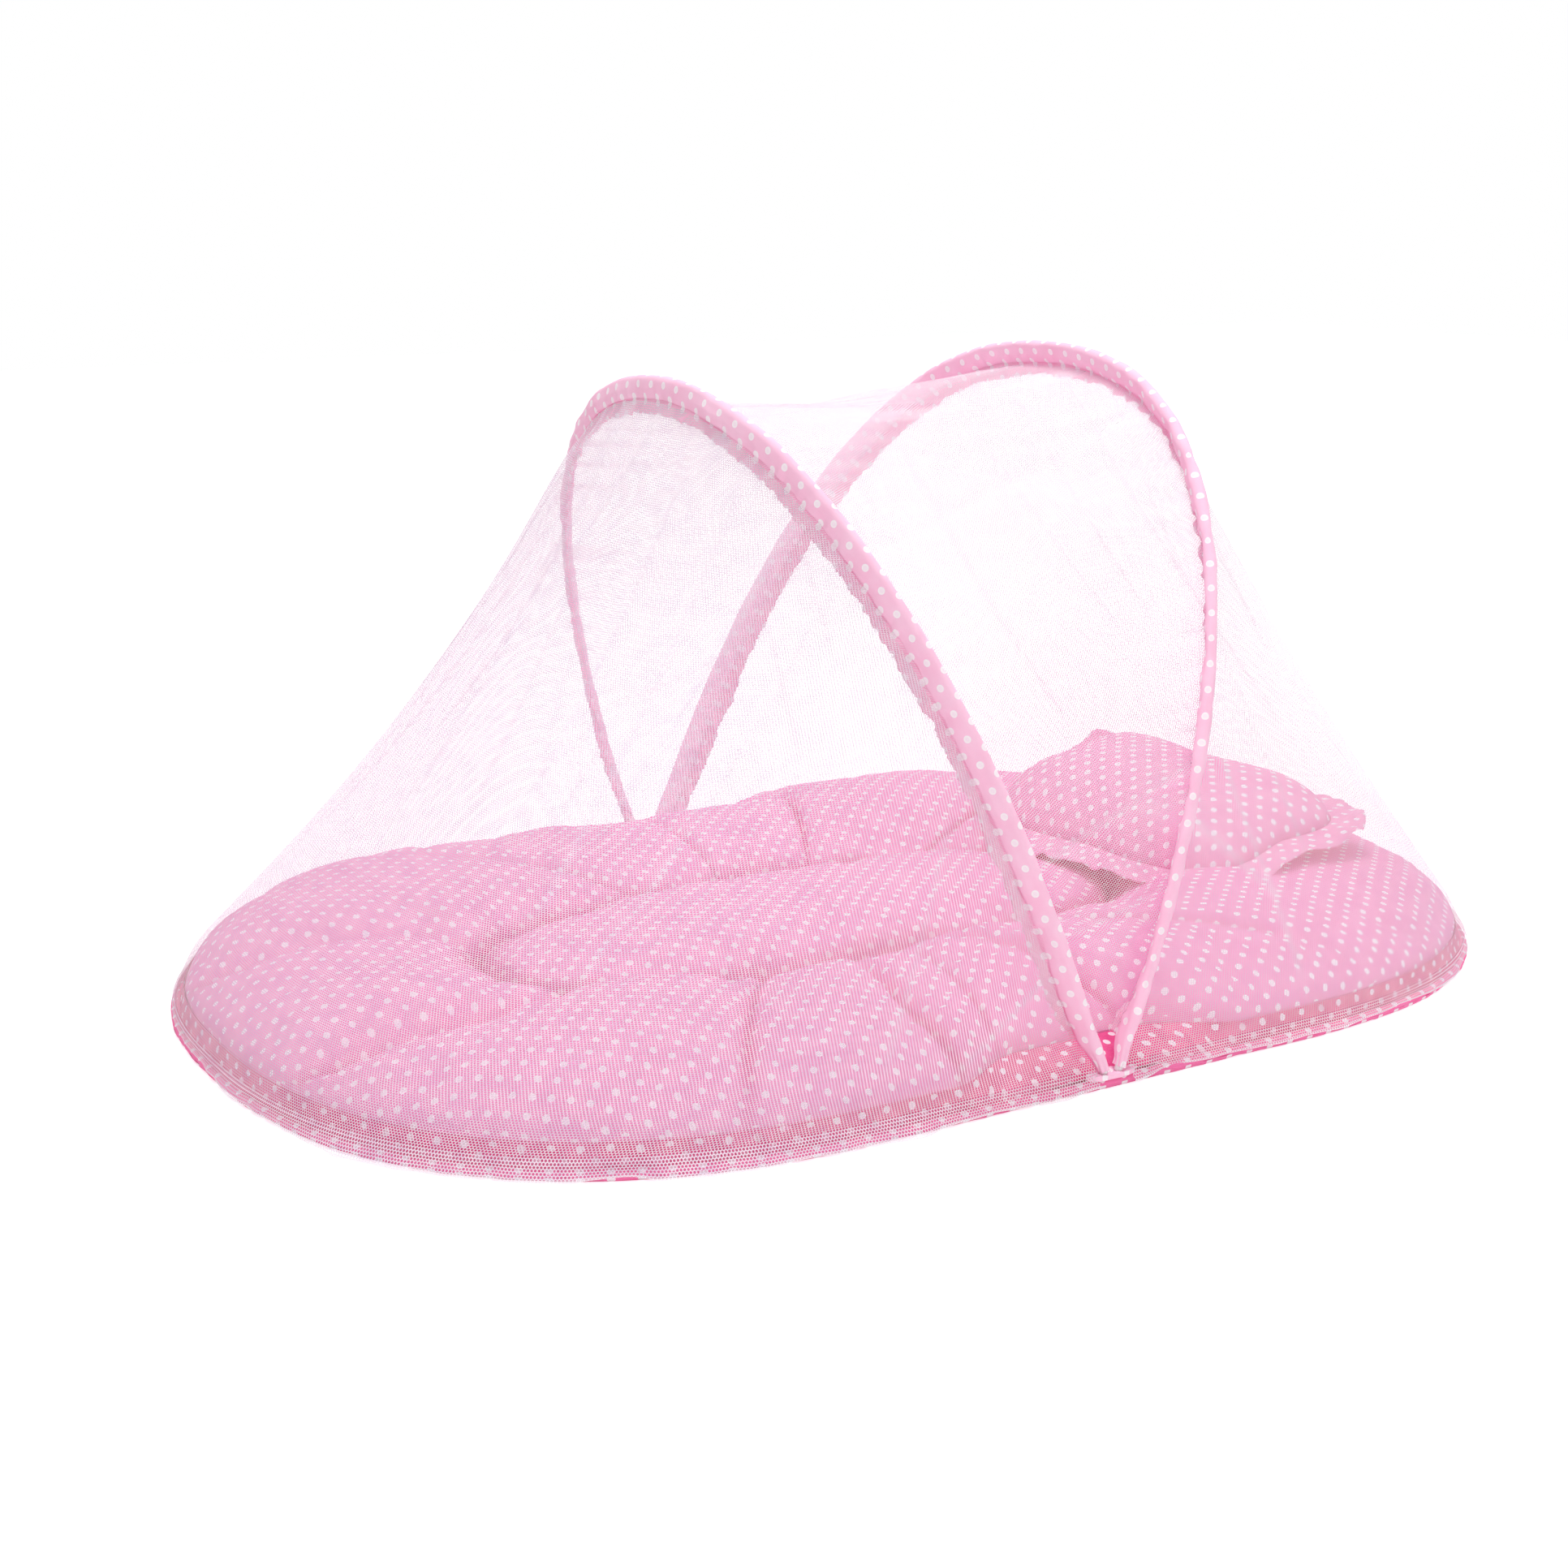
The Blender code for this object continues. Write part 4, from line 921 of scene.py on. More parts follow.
def stuffed(obj, held, cap, pressure):
    """Lets stuffing press a shell out. held: how fast each corner is sewn. cap: how far it may go."""
    start = read_corners(obj.data)
    group = obj.vertex_groups.new(name="sewn")
    for index, share in enumerate(held.tolist()):
        if share > 0.001:
            group.add([index], share, "REPLACE")
    cloth = obj.modifiers.new("stuffing", "CLOTH")
    settings = cloth.settings
    settings.vertex_group_mass = "sewn"
    for key, value in STUFFING.items():
        setattr(settings, key, value)
    settings.uniform_pressure_force = pressure
    settings.effector_weights.gravity = 0
    cloth.collision_settings.use_collision = False
    for number in range(1, STUFFING_FRAMES + 1):
        bpy.context.scene.frame_set(number)
    shown = obj.evaluated_get(bpy.context.evaluated_depsgraph_get()).to_mesh()
    shift = read_corners(shown) - start
    obj.modifiers.remove(cloth)
    obj.vertex_groups.clear()
    bpy.context.scene.frame_set(1)
    size = np.linalg.norm(shift, axis=1)
    shift *= (cap * np.tanh(size / np.maximum(cap, 1e-6)) / np.maximum(size, 1e-9))[:, None]
    obj.data.vertices.foreach_set("co", (start + shift).astype(np.float32).ravel())
    obj.data.update()


def stuff_mattress(mattress):
    """The top is held along the pad's seam, the caught folds and its edge, and swells between them."""
    place = read_corners(mattress.data)
    offset = place[:, :2] - PAD_CENTRE
    angle, distance = np.arctan2(offset[:, 1], offset[:, 0]), np.hypot(*offset.T)
    edge = np.interp(angle, EDGE_ANGLES, EDGE_DISTANCES)
    on_top = place[:, 2] > edge_height(angle) - TOUCH
    pad = pad_radius(angle)
    seam = bell(distance - pad, SEAM_HOLD)
    caught = fold_line(np.clip((distance - pad) / (edge - pad), 0, 1), angle) * (distance > pad)
    sewn = np.maximum(seam, caught * FOLD_HOLD)
    held = np.where(on_top, np.maximum(sewn, smoothstep(*EDGE_HOLD, edge - distance)), 1.0)
    cap = STUFFING_REACH * smoothstep(0.0, 0.03, edge - distance) * (1 - held)
    stuffed(mattress, held, cap, STUFFING_PRESSURE)


def make_mattress():
    top = grid("mattress", MATTRESS_CELLS, MATTRESS_CELLS, mattress_top)
    below = grid("mattress_under", MATTRESS_CELLS, MATTRESS_CELLS, mattress_underside)
    mattress = close_seams(join([top, below], "mattress"))
    stuff_mattress(mattress)
    stands_for = ["mattress_pad", "mattress_backing"]
    dress(mattress, MATTRESS_PINK, "base", stands_for)


# Pillow

PILLOW_CELLS = 80
PILLOW_RAY_STEPS = 48
PILLOW_SINK = 0.011
PILLOW_HEAD_LIFT = 0.013
PILLOW_SEAM_REACH = 0.012
PILLOW_PUCKER = (0.0075, 0.0016, 21)
PILLOW_FOLDS = (0.045, 0.0022, 22)
UNDER_RELIEF = 0.25
BORDER_CELLS = 640
BORDER_CLOTH = 0.0009
BORDER_TEETH = 150
BORDER_TOOTH = 0.0013
BORDER_UNEVEN = (0.03, 0.0022, 24)
BORDER_RUFFLE = (0.011, 0.0030, 23)
BORDER_FRILL = (0.007, 0.0045, 25)
BORDER_CRUMPLE = (0.006, 0.0012, 26)
# Places round the border: their angle, how wide they are, and how far the cloth moves there
BORDER_TUCKED = ((2.30, 0.35, 0.012),)
BORDER_RAISED = ((2.25, 0.25, 0.014), (0.95, 0.42, 0.024))
BORDER_DROOP = ((math.pi, 0.7, 0.005), (4.2, 0.6, 0.004))


def pillow_matrix():
    turn = Matrix.Rotation(PILLOW_TURN, 4, "Z") @ Matrix.Rotation(PILLOW_TILT, 4, "Y")
    return np.array(Matrix.Translation(PILLOW_PLACE) @ turn)


PILLOW_MATRIX = pillow_matrix()


def on_pillow(points):
    return points @ PILLOW_MATRIX[:3, :3].T + PILLOW_MATRIX[:3, 3]


def pillow_edge(angle, grown):
    """The pillow's outline, its sides drawn in between the corners, and grown by a width."""
    half_x, half_y = PILLOW_WIDTH / 2, PILLOW_LENGTH / 2
    edge = superellipse(angle, half_x, half_y, PILLOW_POWER)
    square = np.arctan2(edge[:, 1] * half_x, edge[:, 0] * half_y)
    edge *= (1 - PILLOW_DRAW_IN * (1 - np.abs(np.sin(2 * square))))[:, None]
    reach = np.hypot(*edge.T)
    return edge * (1 + grown / reach)[:, None]


def pillow_sink(flat):
    """The pillow's foot side lies down into the hollow of the mattress."""
    return PILLOW_SINK * smoothstep(0.0, -PILLOW_WIDTH / 2, flat[:, 0])


def pillow_half(side):
    """The upper half (side 1) or the lower one (-1), from its middle to the border's seam."""
    full, share = (PILLOW_CROWN, 1.0) if side > 0 else (PILLOW_BELLY, UNDER_RELIEF)

    def place(u, v):
        ring, turn = square_rings(u, v)
        angle = turn * 2 * math.pi
        edge = pillow_edge(angle, -BORDER_SEAM)
        flat = edge * ring[:, None]
        to_seam = (1 - ring) * np.hypot(*edge.T)
        pucker = ripple(angle * 0.1, 0.0, PILLOW_PUCKER)
        pucker = pucker * to_seam / PILLOW_SEAM_REACH * np.exp(1 - to_seam / PILLOW_SEAM_REACH)
        folds = ripple(flat[:, 0], flat[:, 1] * 0.7, PILLOW_FOLDS) * smoothstep(0, 0.03, to_seam)
        stands = PILLOW_EDGE / 2 * smoothstep(0, 0.01, to_seam) + full * swell(ring, *OUTER_SWELL)
        height = side * stands
        height += (pucker + folds) * share
        height += PILLOW_HEAD_LIFT * smoothstep(-0.02, 0.14, flat[:, 1]) * (1 - ring**4) * share
        height -= pillow_sink(flat)
        reach = np.hypot(*flat.T)
        steps = np.hypot(*edge.T)[:, None] * np.sin(np.linspace(0, math.pi / 2, PILLOW_RAY_STEPS))
        flat_reach = cloth_reach(reach, steps, full * swell(steps / steps[:, -1:], *OUTER_SWELL))
        cloth = flat * (flat_reach / np.maximum(reach, 1e-6))[:, None] * np.array([1.0, side])
        return on_pillow(np.column_stack([flat, height])), cloth

    return place


def moved_at(angle, places):
    return sum(far * bell(angle - middle, width) for middle, width, far in places)


def border_place(u, v):
    """The flat border: ruffled, with pinked teeth, raised at two corners and hanging at the foot."""
    angle = u * 2 * math.pi
    turns = np.linspace(0, 2 * math.pi, 721)
    around = np.interp(angle, turns, Route(pillow_edge(turns, BORDER_WIDTH / 2)).along)
    grown = v * (BORDER_WIDTH + BORDER_SEAM) - BORDER_SEAM
    tooth = BORDER_TOOTH * np.abs((u * BORDER_TEETH) % 1 - 0.5) * 2
    edge = pillow_edge(angle, 0.0)
    outer = pillow_edge(angle, 1.0)
    out = (outer - edge) / np.linalg.norm(outer - edge, axis=1)[:, None]
    uneven = ripple(around, 0, BORDER_UNEVEN)
    reach = grown + (uneven - tooth - moved_at(angle, BORDER_TUCKED)) * v**2
    flat = edge + out * reach[:, None]
    ruffle = 0.0016 * v * np.sin(14 * angle) + v**2 * ripple(around, 0, BORDER_RUFFLE)
    ruffle += v**1.5 * ripple(around, 0, BORDER_FRILL) * bell(angle - 3.95, 0.5)
    ruffle += ripple(around, v * 0.02, BORDER_CRUMPLE) * np.sin(math.pi * v)
    raised = moved_at(angle, BORDER_RAISED) * v**1.4
    height = ruffle + raised - moved_at(angle, BORDER_DROOP) * v**2 - pillow_sink(flat)
    return on_pillow(np.column_stack([flat, height])), np.column_stack([around, grown])


def give_way(obj):
    """Gives a piece of the pillow a mesh of its own."""
    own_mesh(obj)


def make_pillow():
    top = grid("pillow", PILLOW_CELLS, PILLOW_CELLS, pillow_half(1))
    below = grid("pillow_below", PILLOW_CELLS, PILLOW_CELLS, pillow_half(-1))
    pillow = close_seams(join([top, below], "pillow"))
    dress(pillow, PILLOW_PINK, "pillow", ["pillow_pad"])
    give_way(pillow)
    border = close_seams(grid("pillow_border_cloth", BORDER_CELLS, 10, border_place))
    applied(border, "SOLIDIFY", thickness=BORDER_CLOTH, offset=0.0)
    dress(border, PILLOW_PINK, "pillow", ["pillow_border"])
    give_way(border)


# Hoops

SLEEVE_START = 0.0015
SLEEVE_PUCKER = (0.0060, 0.0012, 0)
SLEEVE_SLACK = (0.019, 0.0007, 1)
SLEEVE_SLANT = (0.0105, 0.0007, 2)
SLEEVE_SWAY = (0.045, 0.0014, 3)
SLEEVE_LEAN = (0.035, 0.0006, 4)
END_PLEATS = 7
END_PLEAT_DEPTH = 0.0007
EDGE_FRAY = (0.0022, 0.0012, 0)
EDGE_DRIFT = (0.02, 0.0014, 1)
EDGE_PLEAT = (0.0062, 0.0024, 2)
EDGE_WAVE = (0.017, 0.0018, 3)
EDGE_CLOTH = 0.0008
LOOSE_THREADS = 620
LOOSE_THREAD_WIDTH = 0.00022
LOOSE_THREAD_THICKNESS = 0.0002
# Along a loose thread: how far, and the share of its width there
LOOSE_THREAD_TAPER = ((0.0, 1.0), (0.5, 0.8), (1.0, 0.3))


class Hoop:
    """A hoop's middle line in its own plane, and places beside it in the row frame."""

    def __init__(self, side, height, lean, power, pull):
        self.side = side
        self.lean = lean
        self.pull = pull
        line = superellipse(np.linspace(0, math.pi, OUTLINE_STEPS), RIM_HALF_WIDTH, height, power)
        self.route = Route(line)
        self.length = self.route.length

    def place(self, distance, outward, over):
        """A point by its distance from the far foot, outwards in the plane, and over to the head end.

        The net pulls the cloth round the wire, less and less towards the feet.
        """
        distance, outward, over = np.broadcast_arrays(distance, outward, over)
        from_foot = np.minimum(distance, self.length - distance)
        turn = self.pull * smoothstep(0.0, 0.07, from_foot)
        turned = outward * np.cos(turn) - over * np.sin(turn)
        over = outward * np.sin(turn) + over * np.cos(turn)
        flat = self.route.at(distance) - self.route.inwards(distance) * turned[..., None]
        c, s = math.cos(self.lean), math.sin(self.lean)
        x = s * flat[..., 1] + c * over + self.side * HOOP_PIVOT_SPACING / 2
        z = c * flat[..., 1] - s * over + PIVOT_HEIGHT
        return np.stack([x, flat[..., 0], z], -1)

    def seam(self, share, face):
        """The seam that a net hangs from, from the near foot (0) to the far foot (1)."""
        distance = self.length - FLANGE_START - share * (self.length - 2 * FLANGE_START)
        return self.place(distance, -NET_SEAM_DEPTH, face * NET_SEAM_OFFSET)


HOOPS = {name: Hoop(**sizes) for name, sizes in (("foot_hoop", FOOT_HOOP), ("head_hoop", HEAD_HOOP))}


def sleeve_ring(turn):
    """The sleeve's section: round over the wire and narrowing to its seam. turn runs from 0 to 1."""
    seam = 0.0004 - SEAM_DEPTH
    corners = [(seam, 0.0), (seam, 0.0012), (-0.0128, 0.0027), (-0.0085, 0.0041)]
    arc = [math.radians(a) for a in (100, 75, 50, 25)]
    corners += [(SLEEVE_RADIUS * math.cos(a) - SLEEVE_EASE, SLEEVE_RADIUS * math.sin(a)) for a in arc]
    corners += [(SLEEVE_RADIUS - SLEEVE_EASE, 0.0)]
    corners += [(x, -y) for x, y in corners[-2:0:-1]]
    section = Route(corners, closed=True)
    return section.at(turn * section.length), section.length


def sleeve_place(hoop, seed):
    """The sleeve, puckered along its seam and gathered in at the hoop's ends."""

    def place(u, v):
        distance = SLEEVE_START + v * (hoop.length - 2 * SLEEVE_START)
        section, girth = sleeve_ring(u)
        outward, over = section.T
        depth = (SLEEVE_RADIUS - SLEEVE_EASE - outward) / (SEAM_DEPTH + SLEEVE_RADIUS - SLEEVE_EASE)
        side = np.sign(over)
        near_seam = smoothstep(0.25, 0.85, depth)
        full = smoothstep(0, 0.0008, np.abs(over))
        pucker = ripple(distance, side * 0.05, SLEEVE_PUCKER, seed) * near_seam
        slack = ripple(distance, depth * 0.012, SLEEVE_SLACK, seed)
        slant = ripple(distance + depth * 0.010, side * 0.03, SLEEVE_SLANT, seed)
        sway = ripple(distance, 0.0, SLEEVE_SWAY, seed) * near_seam
        from_end = np.minimum(distance, hoop.length - distance)
        gather = smoothstep(0.024, 0.002, from_end)
        uneven = pucker + slack + slant * smoothstep(0, 0.3, depth)
        over = over + side * full * uneven * (1 - 0.6 * gather)
        over = over + sway * (1 - gather)
        pleat = np.sin(u * 2 * math.pi * END_PLEATS + seed) * END_PLEAT_DEPTH * gather
        end_outward = -0.0015 + (outward + 0.0066) * 0.62
        outward = outward * (1 - gather) + end_outward * gather + pleat
        over = over * (1 - 0.22 * gather) + pleat * side * full
        outward = outward + ripple(distance, 0.0, SLEEVE_LEAN, seed) * (1 - gather)
        cloth = np.column_stack([distance, u * girth])
        return hoop.place(distance, outward, over), cloth

    return place


def flange_place(hoop, seed):
    """The raw-edged seam allowance, which waves more towards its frayed edge."""

    def place(u, v):
        distance = FLANGE_START - 0.004 + v * (hoop.length - 2 * FLANGE_START + 0.008)
        fray = ripple(distance, 0.0, EDGE_FRAY, seed) + ripple(distance, 0.0, EDGE_DRIFT, seed)
        width = FLANGE_WIDTH - 0.0010 + fray
        depth = SEAM_DEPTH - 0.001 + u * (width + 0.001)
        slant = distance + u * 0.010
        pleat = ripple(slant, 0.0, EDGE_PLEAT, seed) + ripple(slant, 0.0, EDGE_WAVE, seed)
        over = 0.0004 + pleat * u**0.7
        return hoop.place(distance, -depth, over), np.column_stack([distance, 0.04 + u * width])

    return place


def fray_threads(name, hoop, seed):
    """Loose threads along the raw edge: short tapered strips."""
    rng = np.random.default_rng(seed)
    distance = np.sort(rng.uniform(FLANGE_START, hoop.length - FLANGE_START, LOOSE_THREADS))
    length = rng.uniform(0.0012, 0.0045, LOOSE_THREADS)
    lean = rng.uniform(-0.8, 0.8, LOOSE_THREADS)
    rise = rng.uniform(-0.0018, 0.0018, LOOSE_THREADS)
    verts, faces, cloth = [], [], []
    depth = SEAM_DEPTH + FLANGE_WIDTH - 0.0020
    for i in range(LOOSE_THREADS):
        base = len(verts)
        for step, taper in LOOSE_THREAD_TAPER:
            reach = depth + length[i] * step
            along = distance[i] + lean[i] * length[i] * step
            lift = rise[i] * step**2
            for side in (-1, 1):
                verts.append((along + side * LOOSE_THREAD_WIDTH * taper / 2, -reach, lift))
                cloth.append((along, reach))
        faces += [(base, base + 1, base + 3, base + 2), (base + 2, base + 3, base + 5, base + 4)]
    places = hoop.place(*np.array(verts).T)
    mesh = bpy.data.meshes.new(name)
    mesh.from_pydata(places.tolist(), [], faces)
    mesh.uv_layers.new(name="cloth")
    lay_flat(mesh, np.array(cloth))
    return applied(add_object(name, mesh), "SOLIDIFY", thickness=LOOSE_THREAD_THICKNESS, offset=0.0)


def make_hoop(name, seed):
    hoop = HOOPS[name]
    sleeve = close_seams(grid(name + "_sleeve_cloth", 36, 620, sleeve_place(hoop, seed)))
    dress(sleeve, PINK, name, [name + "_sleeve"])
    flange = grid(name + "_frayed_edge", 8, 900, flange_place(hoop, seed + 10))
    applied(flange, "SOLIDIFY", thickness=EDGE_CLOTH, offset=0.0)
    dress(flange, FLANGE, name, [name + "_flange"])
    threads = fray_threads(name + "_loose_threads", hoop, seed + 20)
    dress(threads, THREAD_WHITE, name)


# Net


def upper_hull(points):
    """The tight string over a row of (distance, height) points."""
    hull = []
    for p in points:
        while len(hull) > 1:
            a, b = hull[-2], hull[-1]
            if (b[0] - a[0]) * (p[1] - a[1]) - (b[1] - a[1]) * (p[0] - a[0]) < 0:
                break
            hull.pop()
        hull.append(p)
    return np.array(hull)


NET_ROWS = 64
NET_COLUMNS = 300
HEM_ROWS = 6
REST_STEPS = 48
END_NET_LENGTH = 1.25
PLEAT_HEIGHT = 0.0022
NET_SWAY = (0.16, 0.0030, 1)
NET_REST_START = 0.004
UNRESTED_SHARE = 0.12
# The hem's depth and how far it stands out: when tight, more where it is loose, and more in its waves
HEM_DEPTH = (0.0085, 0.0045, 0.0012)
HEM_OUT = (0.0024, 0.0080, 0.0060)
HEM_WAVE = (0.034, 1.0, 0)
HEM_CURL = (0.013, 0.35, 1)


def draped_column(seam, rim, sag_share):
    """From the ring up over the mattress's rolled edge, then straight to the hoop, drawn in a little."""
    run = seam[:2] - rim[:2]
    reach = np.linalg.norm(run)
    run = run / reach
    distance = np.linspace(NET_REST_START, min(reach, NET_REST_REACH), REST_STEPS)
    x, y = rim[0] + run[0] * distance, rim[1] + run[1] * distance
    height, over = mattress_height(x, y)
    keep = over & (distance < reach - NET_CLEARANCE)
    row = [(0.0, NET_FOOT_HEIGHT), *zip(distance[keep], height[keep] + NET_CLEARANCE), (reach, seam[2])]
    hull = upper_hull(row)
    string = Route(hull)
    rested = string.along[-2] if len(hull) > 2 else UNRESTED_SHARE * string.length
    lengths = np.linspace(0, string.length, NET_ROWS + 1)
    points = string.at(lengths)
    soft = np.vstack([points[:1], (points[:-2] + 2 * points[1:-1] + points[2:]) / 4, points[-1:]])
    free = np.clip((lengths - rested) / (string.length - rested), 0, 1)
    sag = sag_share * NET_SAG * np.sin(math.pi * free)
    flat = rim[:2] + run * (soft[:, 0] + sag)[:, None]
    return np.column_stack([flat, soft[:, 1] - sag]), lengths, free


def surface_normals(block):
    """Square to a sheet given as columns and rows of points."""
    across = np.gradient(block, axis=0)
    down = np.gradient(block, axis=1)
    normal = np.cross(across, down)
    return normal / np.maximum(np.linalg.norm(normal, axis=2, keepdims=True), 1e-9)


def end_panel(hoop, side):
    """An end net's points: columns from near foot to far foot, rows from the ring up to the hoop."""
    share = np.linspace(0, 1, NET_COLUMNS + 1)
    seams = hoop.seam(share, side)
    rims = NET_END[side].at(share * NET_END[side].length)
    block = np.empty((NET_COLUMNS + 1, NET_ROWS + 1, 3))
    heights = np.empty((NET_COLUMNS + 1, NET_ROWS + 1))
    frees = np.empty((NET_COLUMNS + 1, NET_ROWS + 1))
    for i in range(NET_COLUMNS + 1):
        rim = np.array([*rims[i], NET_FOOT_HEIGHT])
        sag_share = math.sin(math.pi * share[i]) * (0.4 if side > 0 else 1.0)
        block[i], heights[i], frees[i] = draped_column(seams[i], rim, sag_share)
    normal = surface_normals(block)
    if normal[NET_COLUMNS // 2, NET_ROWS // 2] @ np.array([side, 0, 0.3]) < 0:
        normal = -normal
    return block, heights, frees, normal, share


def panel_relief(share, rows, frees, creases, seed):
    """How far a net stands out from its smooth form, and how gathered it is, over columns and rows."""
    s = share[:, None] * END_NET_LENGTH
    t = rows[None, :]
    lift = np.zeros((len(share), len(rows)))
    gather = np.zeros_like(lift)
    hoop_fade = np.exp(-(1 - t) / 0.09)
    pleats = bumps(s, t * 0.01, 0.010, seed)
    lift += pleats * PLEAT_HEIGHT * hoop_fade * frees
    gather += smoothstep(0.15, 0.8, pleats) * 0.42 * np.exp(-(1 - t) / 0.05)
    for top_share, low_share, top_row, low_row, width, height, dense in creases:
        along = np.clip((top_row - t) / (top_row - low_row), 0, 1)
        inside = smoothstep(0, 0.12, along) * smoothstep(1.0, 0.8, along)
        middle = top_share + (low_share - top_share) * along
        apart = (share[:, None] - middle) * END_NET_LENGTH
        lift += height * bell(apart, width) * inside
        gather += dense * bell(apart, width * 0.35) * inside
    lift += ripple(s, t * 0.9, NET_SWAY, seed) * frees
    return lift, np.clip(gather, 0, 1)


def make_panel(name, points, cloth, gather, hem, stands_for):
    columns, rows = points.shape[0] - 1, points.shape[1] - 1

    def place(u, v):
        i, j = np.rint(u * columns).astype(int), np.rint(v * rows).astype(int)
        return points[i, j], cloth[i, j], {"gather": gather[i, j], "hem": hem[i, j]}

    return dress(grid(name, columns, rows, place), NET, stands_for=[stands_for])


def hem_flap(points, side, loose, seed):
    """The net's hem, added below its rows: it hangs outside the tape and ruffles where it is loose."""
    columns = points.shape[0]
    share = np.linspace(0, 1, columns)
    rim = points[:, 0]
    route = NET_END[side]
    inwards = route.inwards(share * route.length) * (1 if side > 0 else -1)
    slack = loose(share)[:, None]
    drop = np.linspace(1, 0, HEM_ROWS + 1)[:-1][None, :]
    s = share[:, None] * END_NET_LENGTH
    wave = ripple(s, 0.0, HEM_WAVE, seed) + ripple(s, 0.0, HEM_CURL, seed)
    depth = drop * (HEM_DEPTH[0] + HEM_DEPTH[1] * slack + HEM_DEPTH[2] * wave * slack)
    out = HEM_OUT[0] * smoothstep(0, 0.3, drop) + drop**1.3 * slack * (HEM_OUT[1] + HEM_OUT[2] * wave)
    flap = np.empty((columns, HEM_ROWS, 3))
    flap[:, :, :2] = rim[:, None, :2] - inwards[:, None, :] * out[..., None]
    flap[:, :, 2] = rim[:, None, 2] - depth
    edge = np.broadcast_to(smoothstep(0.93, 0.99, drop), (columns, HEM_ROWS)).copy()
    return np.concatenate([flap, points], axis=1), -depth, edge


# Creases: where they begin and end, as shares of the hoop's length and of the net's height, then
# their width, their height and how dense the gathered net is
SET_FOOT_CREASES = [
    (0.17, 0.13, 0.9, 0.1, 0.006, 0.003, 0.3),
    (0.05, 0.09, 0.9, 0.1, 0.006, 0.003, 0.45),
]


def drawn_creases(seed, count, first, apart, drift, fan, spans, widest, dense):
    """A row of creases down from the hoop, each one a little different."""
    rng = np.random.default_rng(seed)
    made = []
    for i in range(count):
        top = first + apart * i
        low = top + rng.uniform(-drift, drift) + fan * (top - 0.6)
        span = rng.uniform(*spans)
        width = rng.uniform(0.004, widest)
        made.append((top, low, 1.0, 1.0 - span, width, rng.uniform(0.0012, 0.003), dense))
    return made


def foot_creases():
    made = drawn_creases(41, 16, 0.30, 0.045, 0.05, 0.10, (0.35, 0.95), 0.008, 0.35)
    return made + SET_FOOT_CREASES


def head_creases():
    return drawn_creases(42, 14, 0.12, 0.055, 0.06, 0.0, (0.3, 0.9), 0.009, 0.32)


def loose_foot_hem(share):
    return smoothstep(0.62, 0.35, share)


def loose_head_hem(share):
    return 0.10 + 0.5 * smoothstep(0.34, 0.16, share)


def end_net(name, hoop_name, side, creases, loose, seed, stands_for):
    points, heights, frees, normal, share = end_panel(HOOPS[hoop_name], side)
    rows = np.linspace(0, 1, NET_ROWS + 1)
    lift, gather = panel_relief(share, rows, frees, creases, seed)
    ends = smoothstep(0, 0.05, share) * smoothstep(1, 0.95, share)
    hold = (ends[:, None] * frees * smoothstep(1.0, 0.97, rows)[None, :])[..., None]
    points = points + normal * (lift[..., None] * hold)
    points, below, edge = hem_flap(points, side, loose, seed + 5)
    heights = np.concatenate([np.broadcast_to(below, edge.shape), heights], axis=1)
    gather = np.concatenate([np.full(edge.shape, 0.05), gather], axis=1)
    hem = np.concatenate([edge, np.zeros_like(lift)], axis=1)
    along = share[:, None] * END_NET_LENGTH
    cloth = np.stack([np.broadcast_to(along, heights.shape), heights], -1)
    return make_panel(name, points, cloth, gather, hem, stands_for)


RIDGE_ROWS = 44
RIDGE_LENGTH = 1.35
RIDGE_RIB_WIDTH = 0.0085
RIDGE_SWAY = (0.07, 0.004, 62)
RIDGE_TOP_WIDTH = 0.013
# Single creases over the ridge: where, how they slant, and how wide
RIDGE_CREASES = ((0.06, 0.02, 0.005), (0.10, 0.05, 0.006), (0.90, -0.04, 0.005), (0.30, 0.1, 0.006))


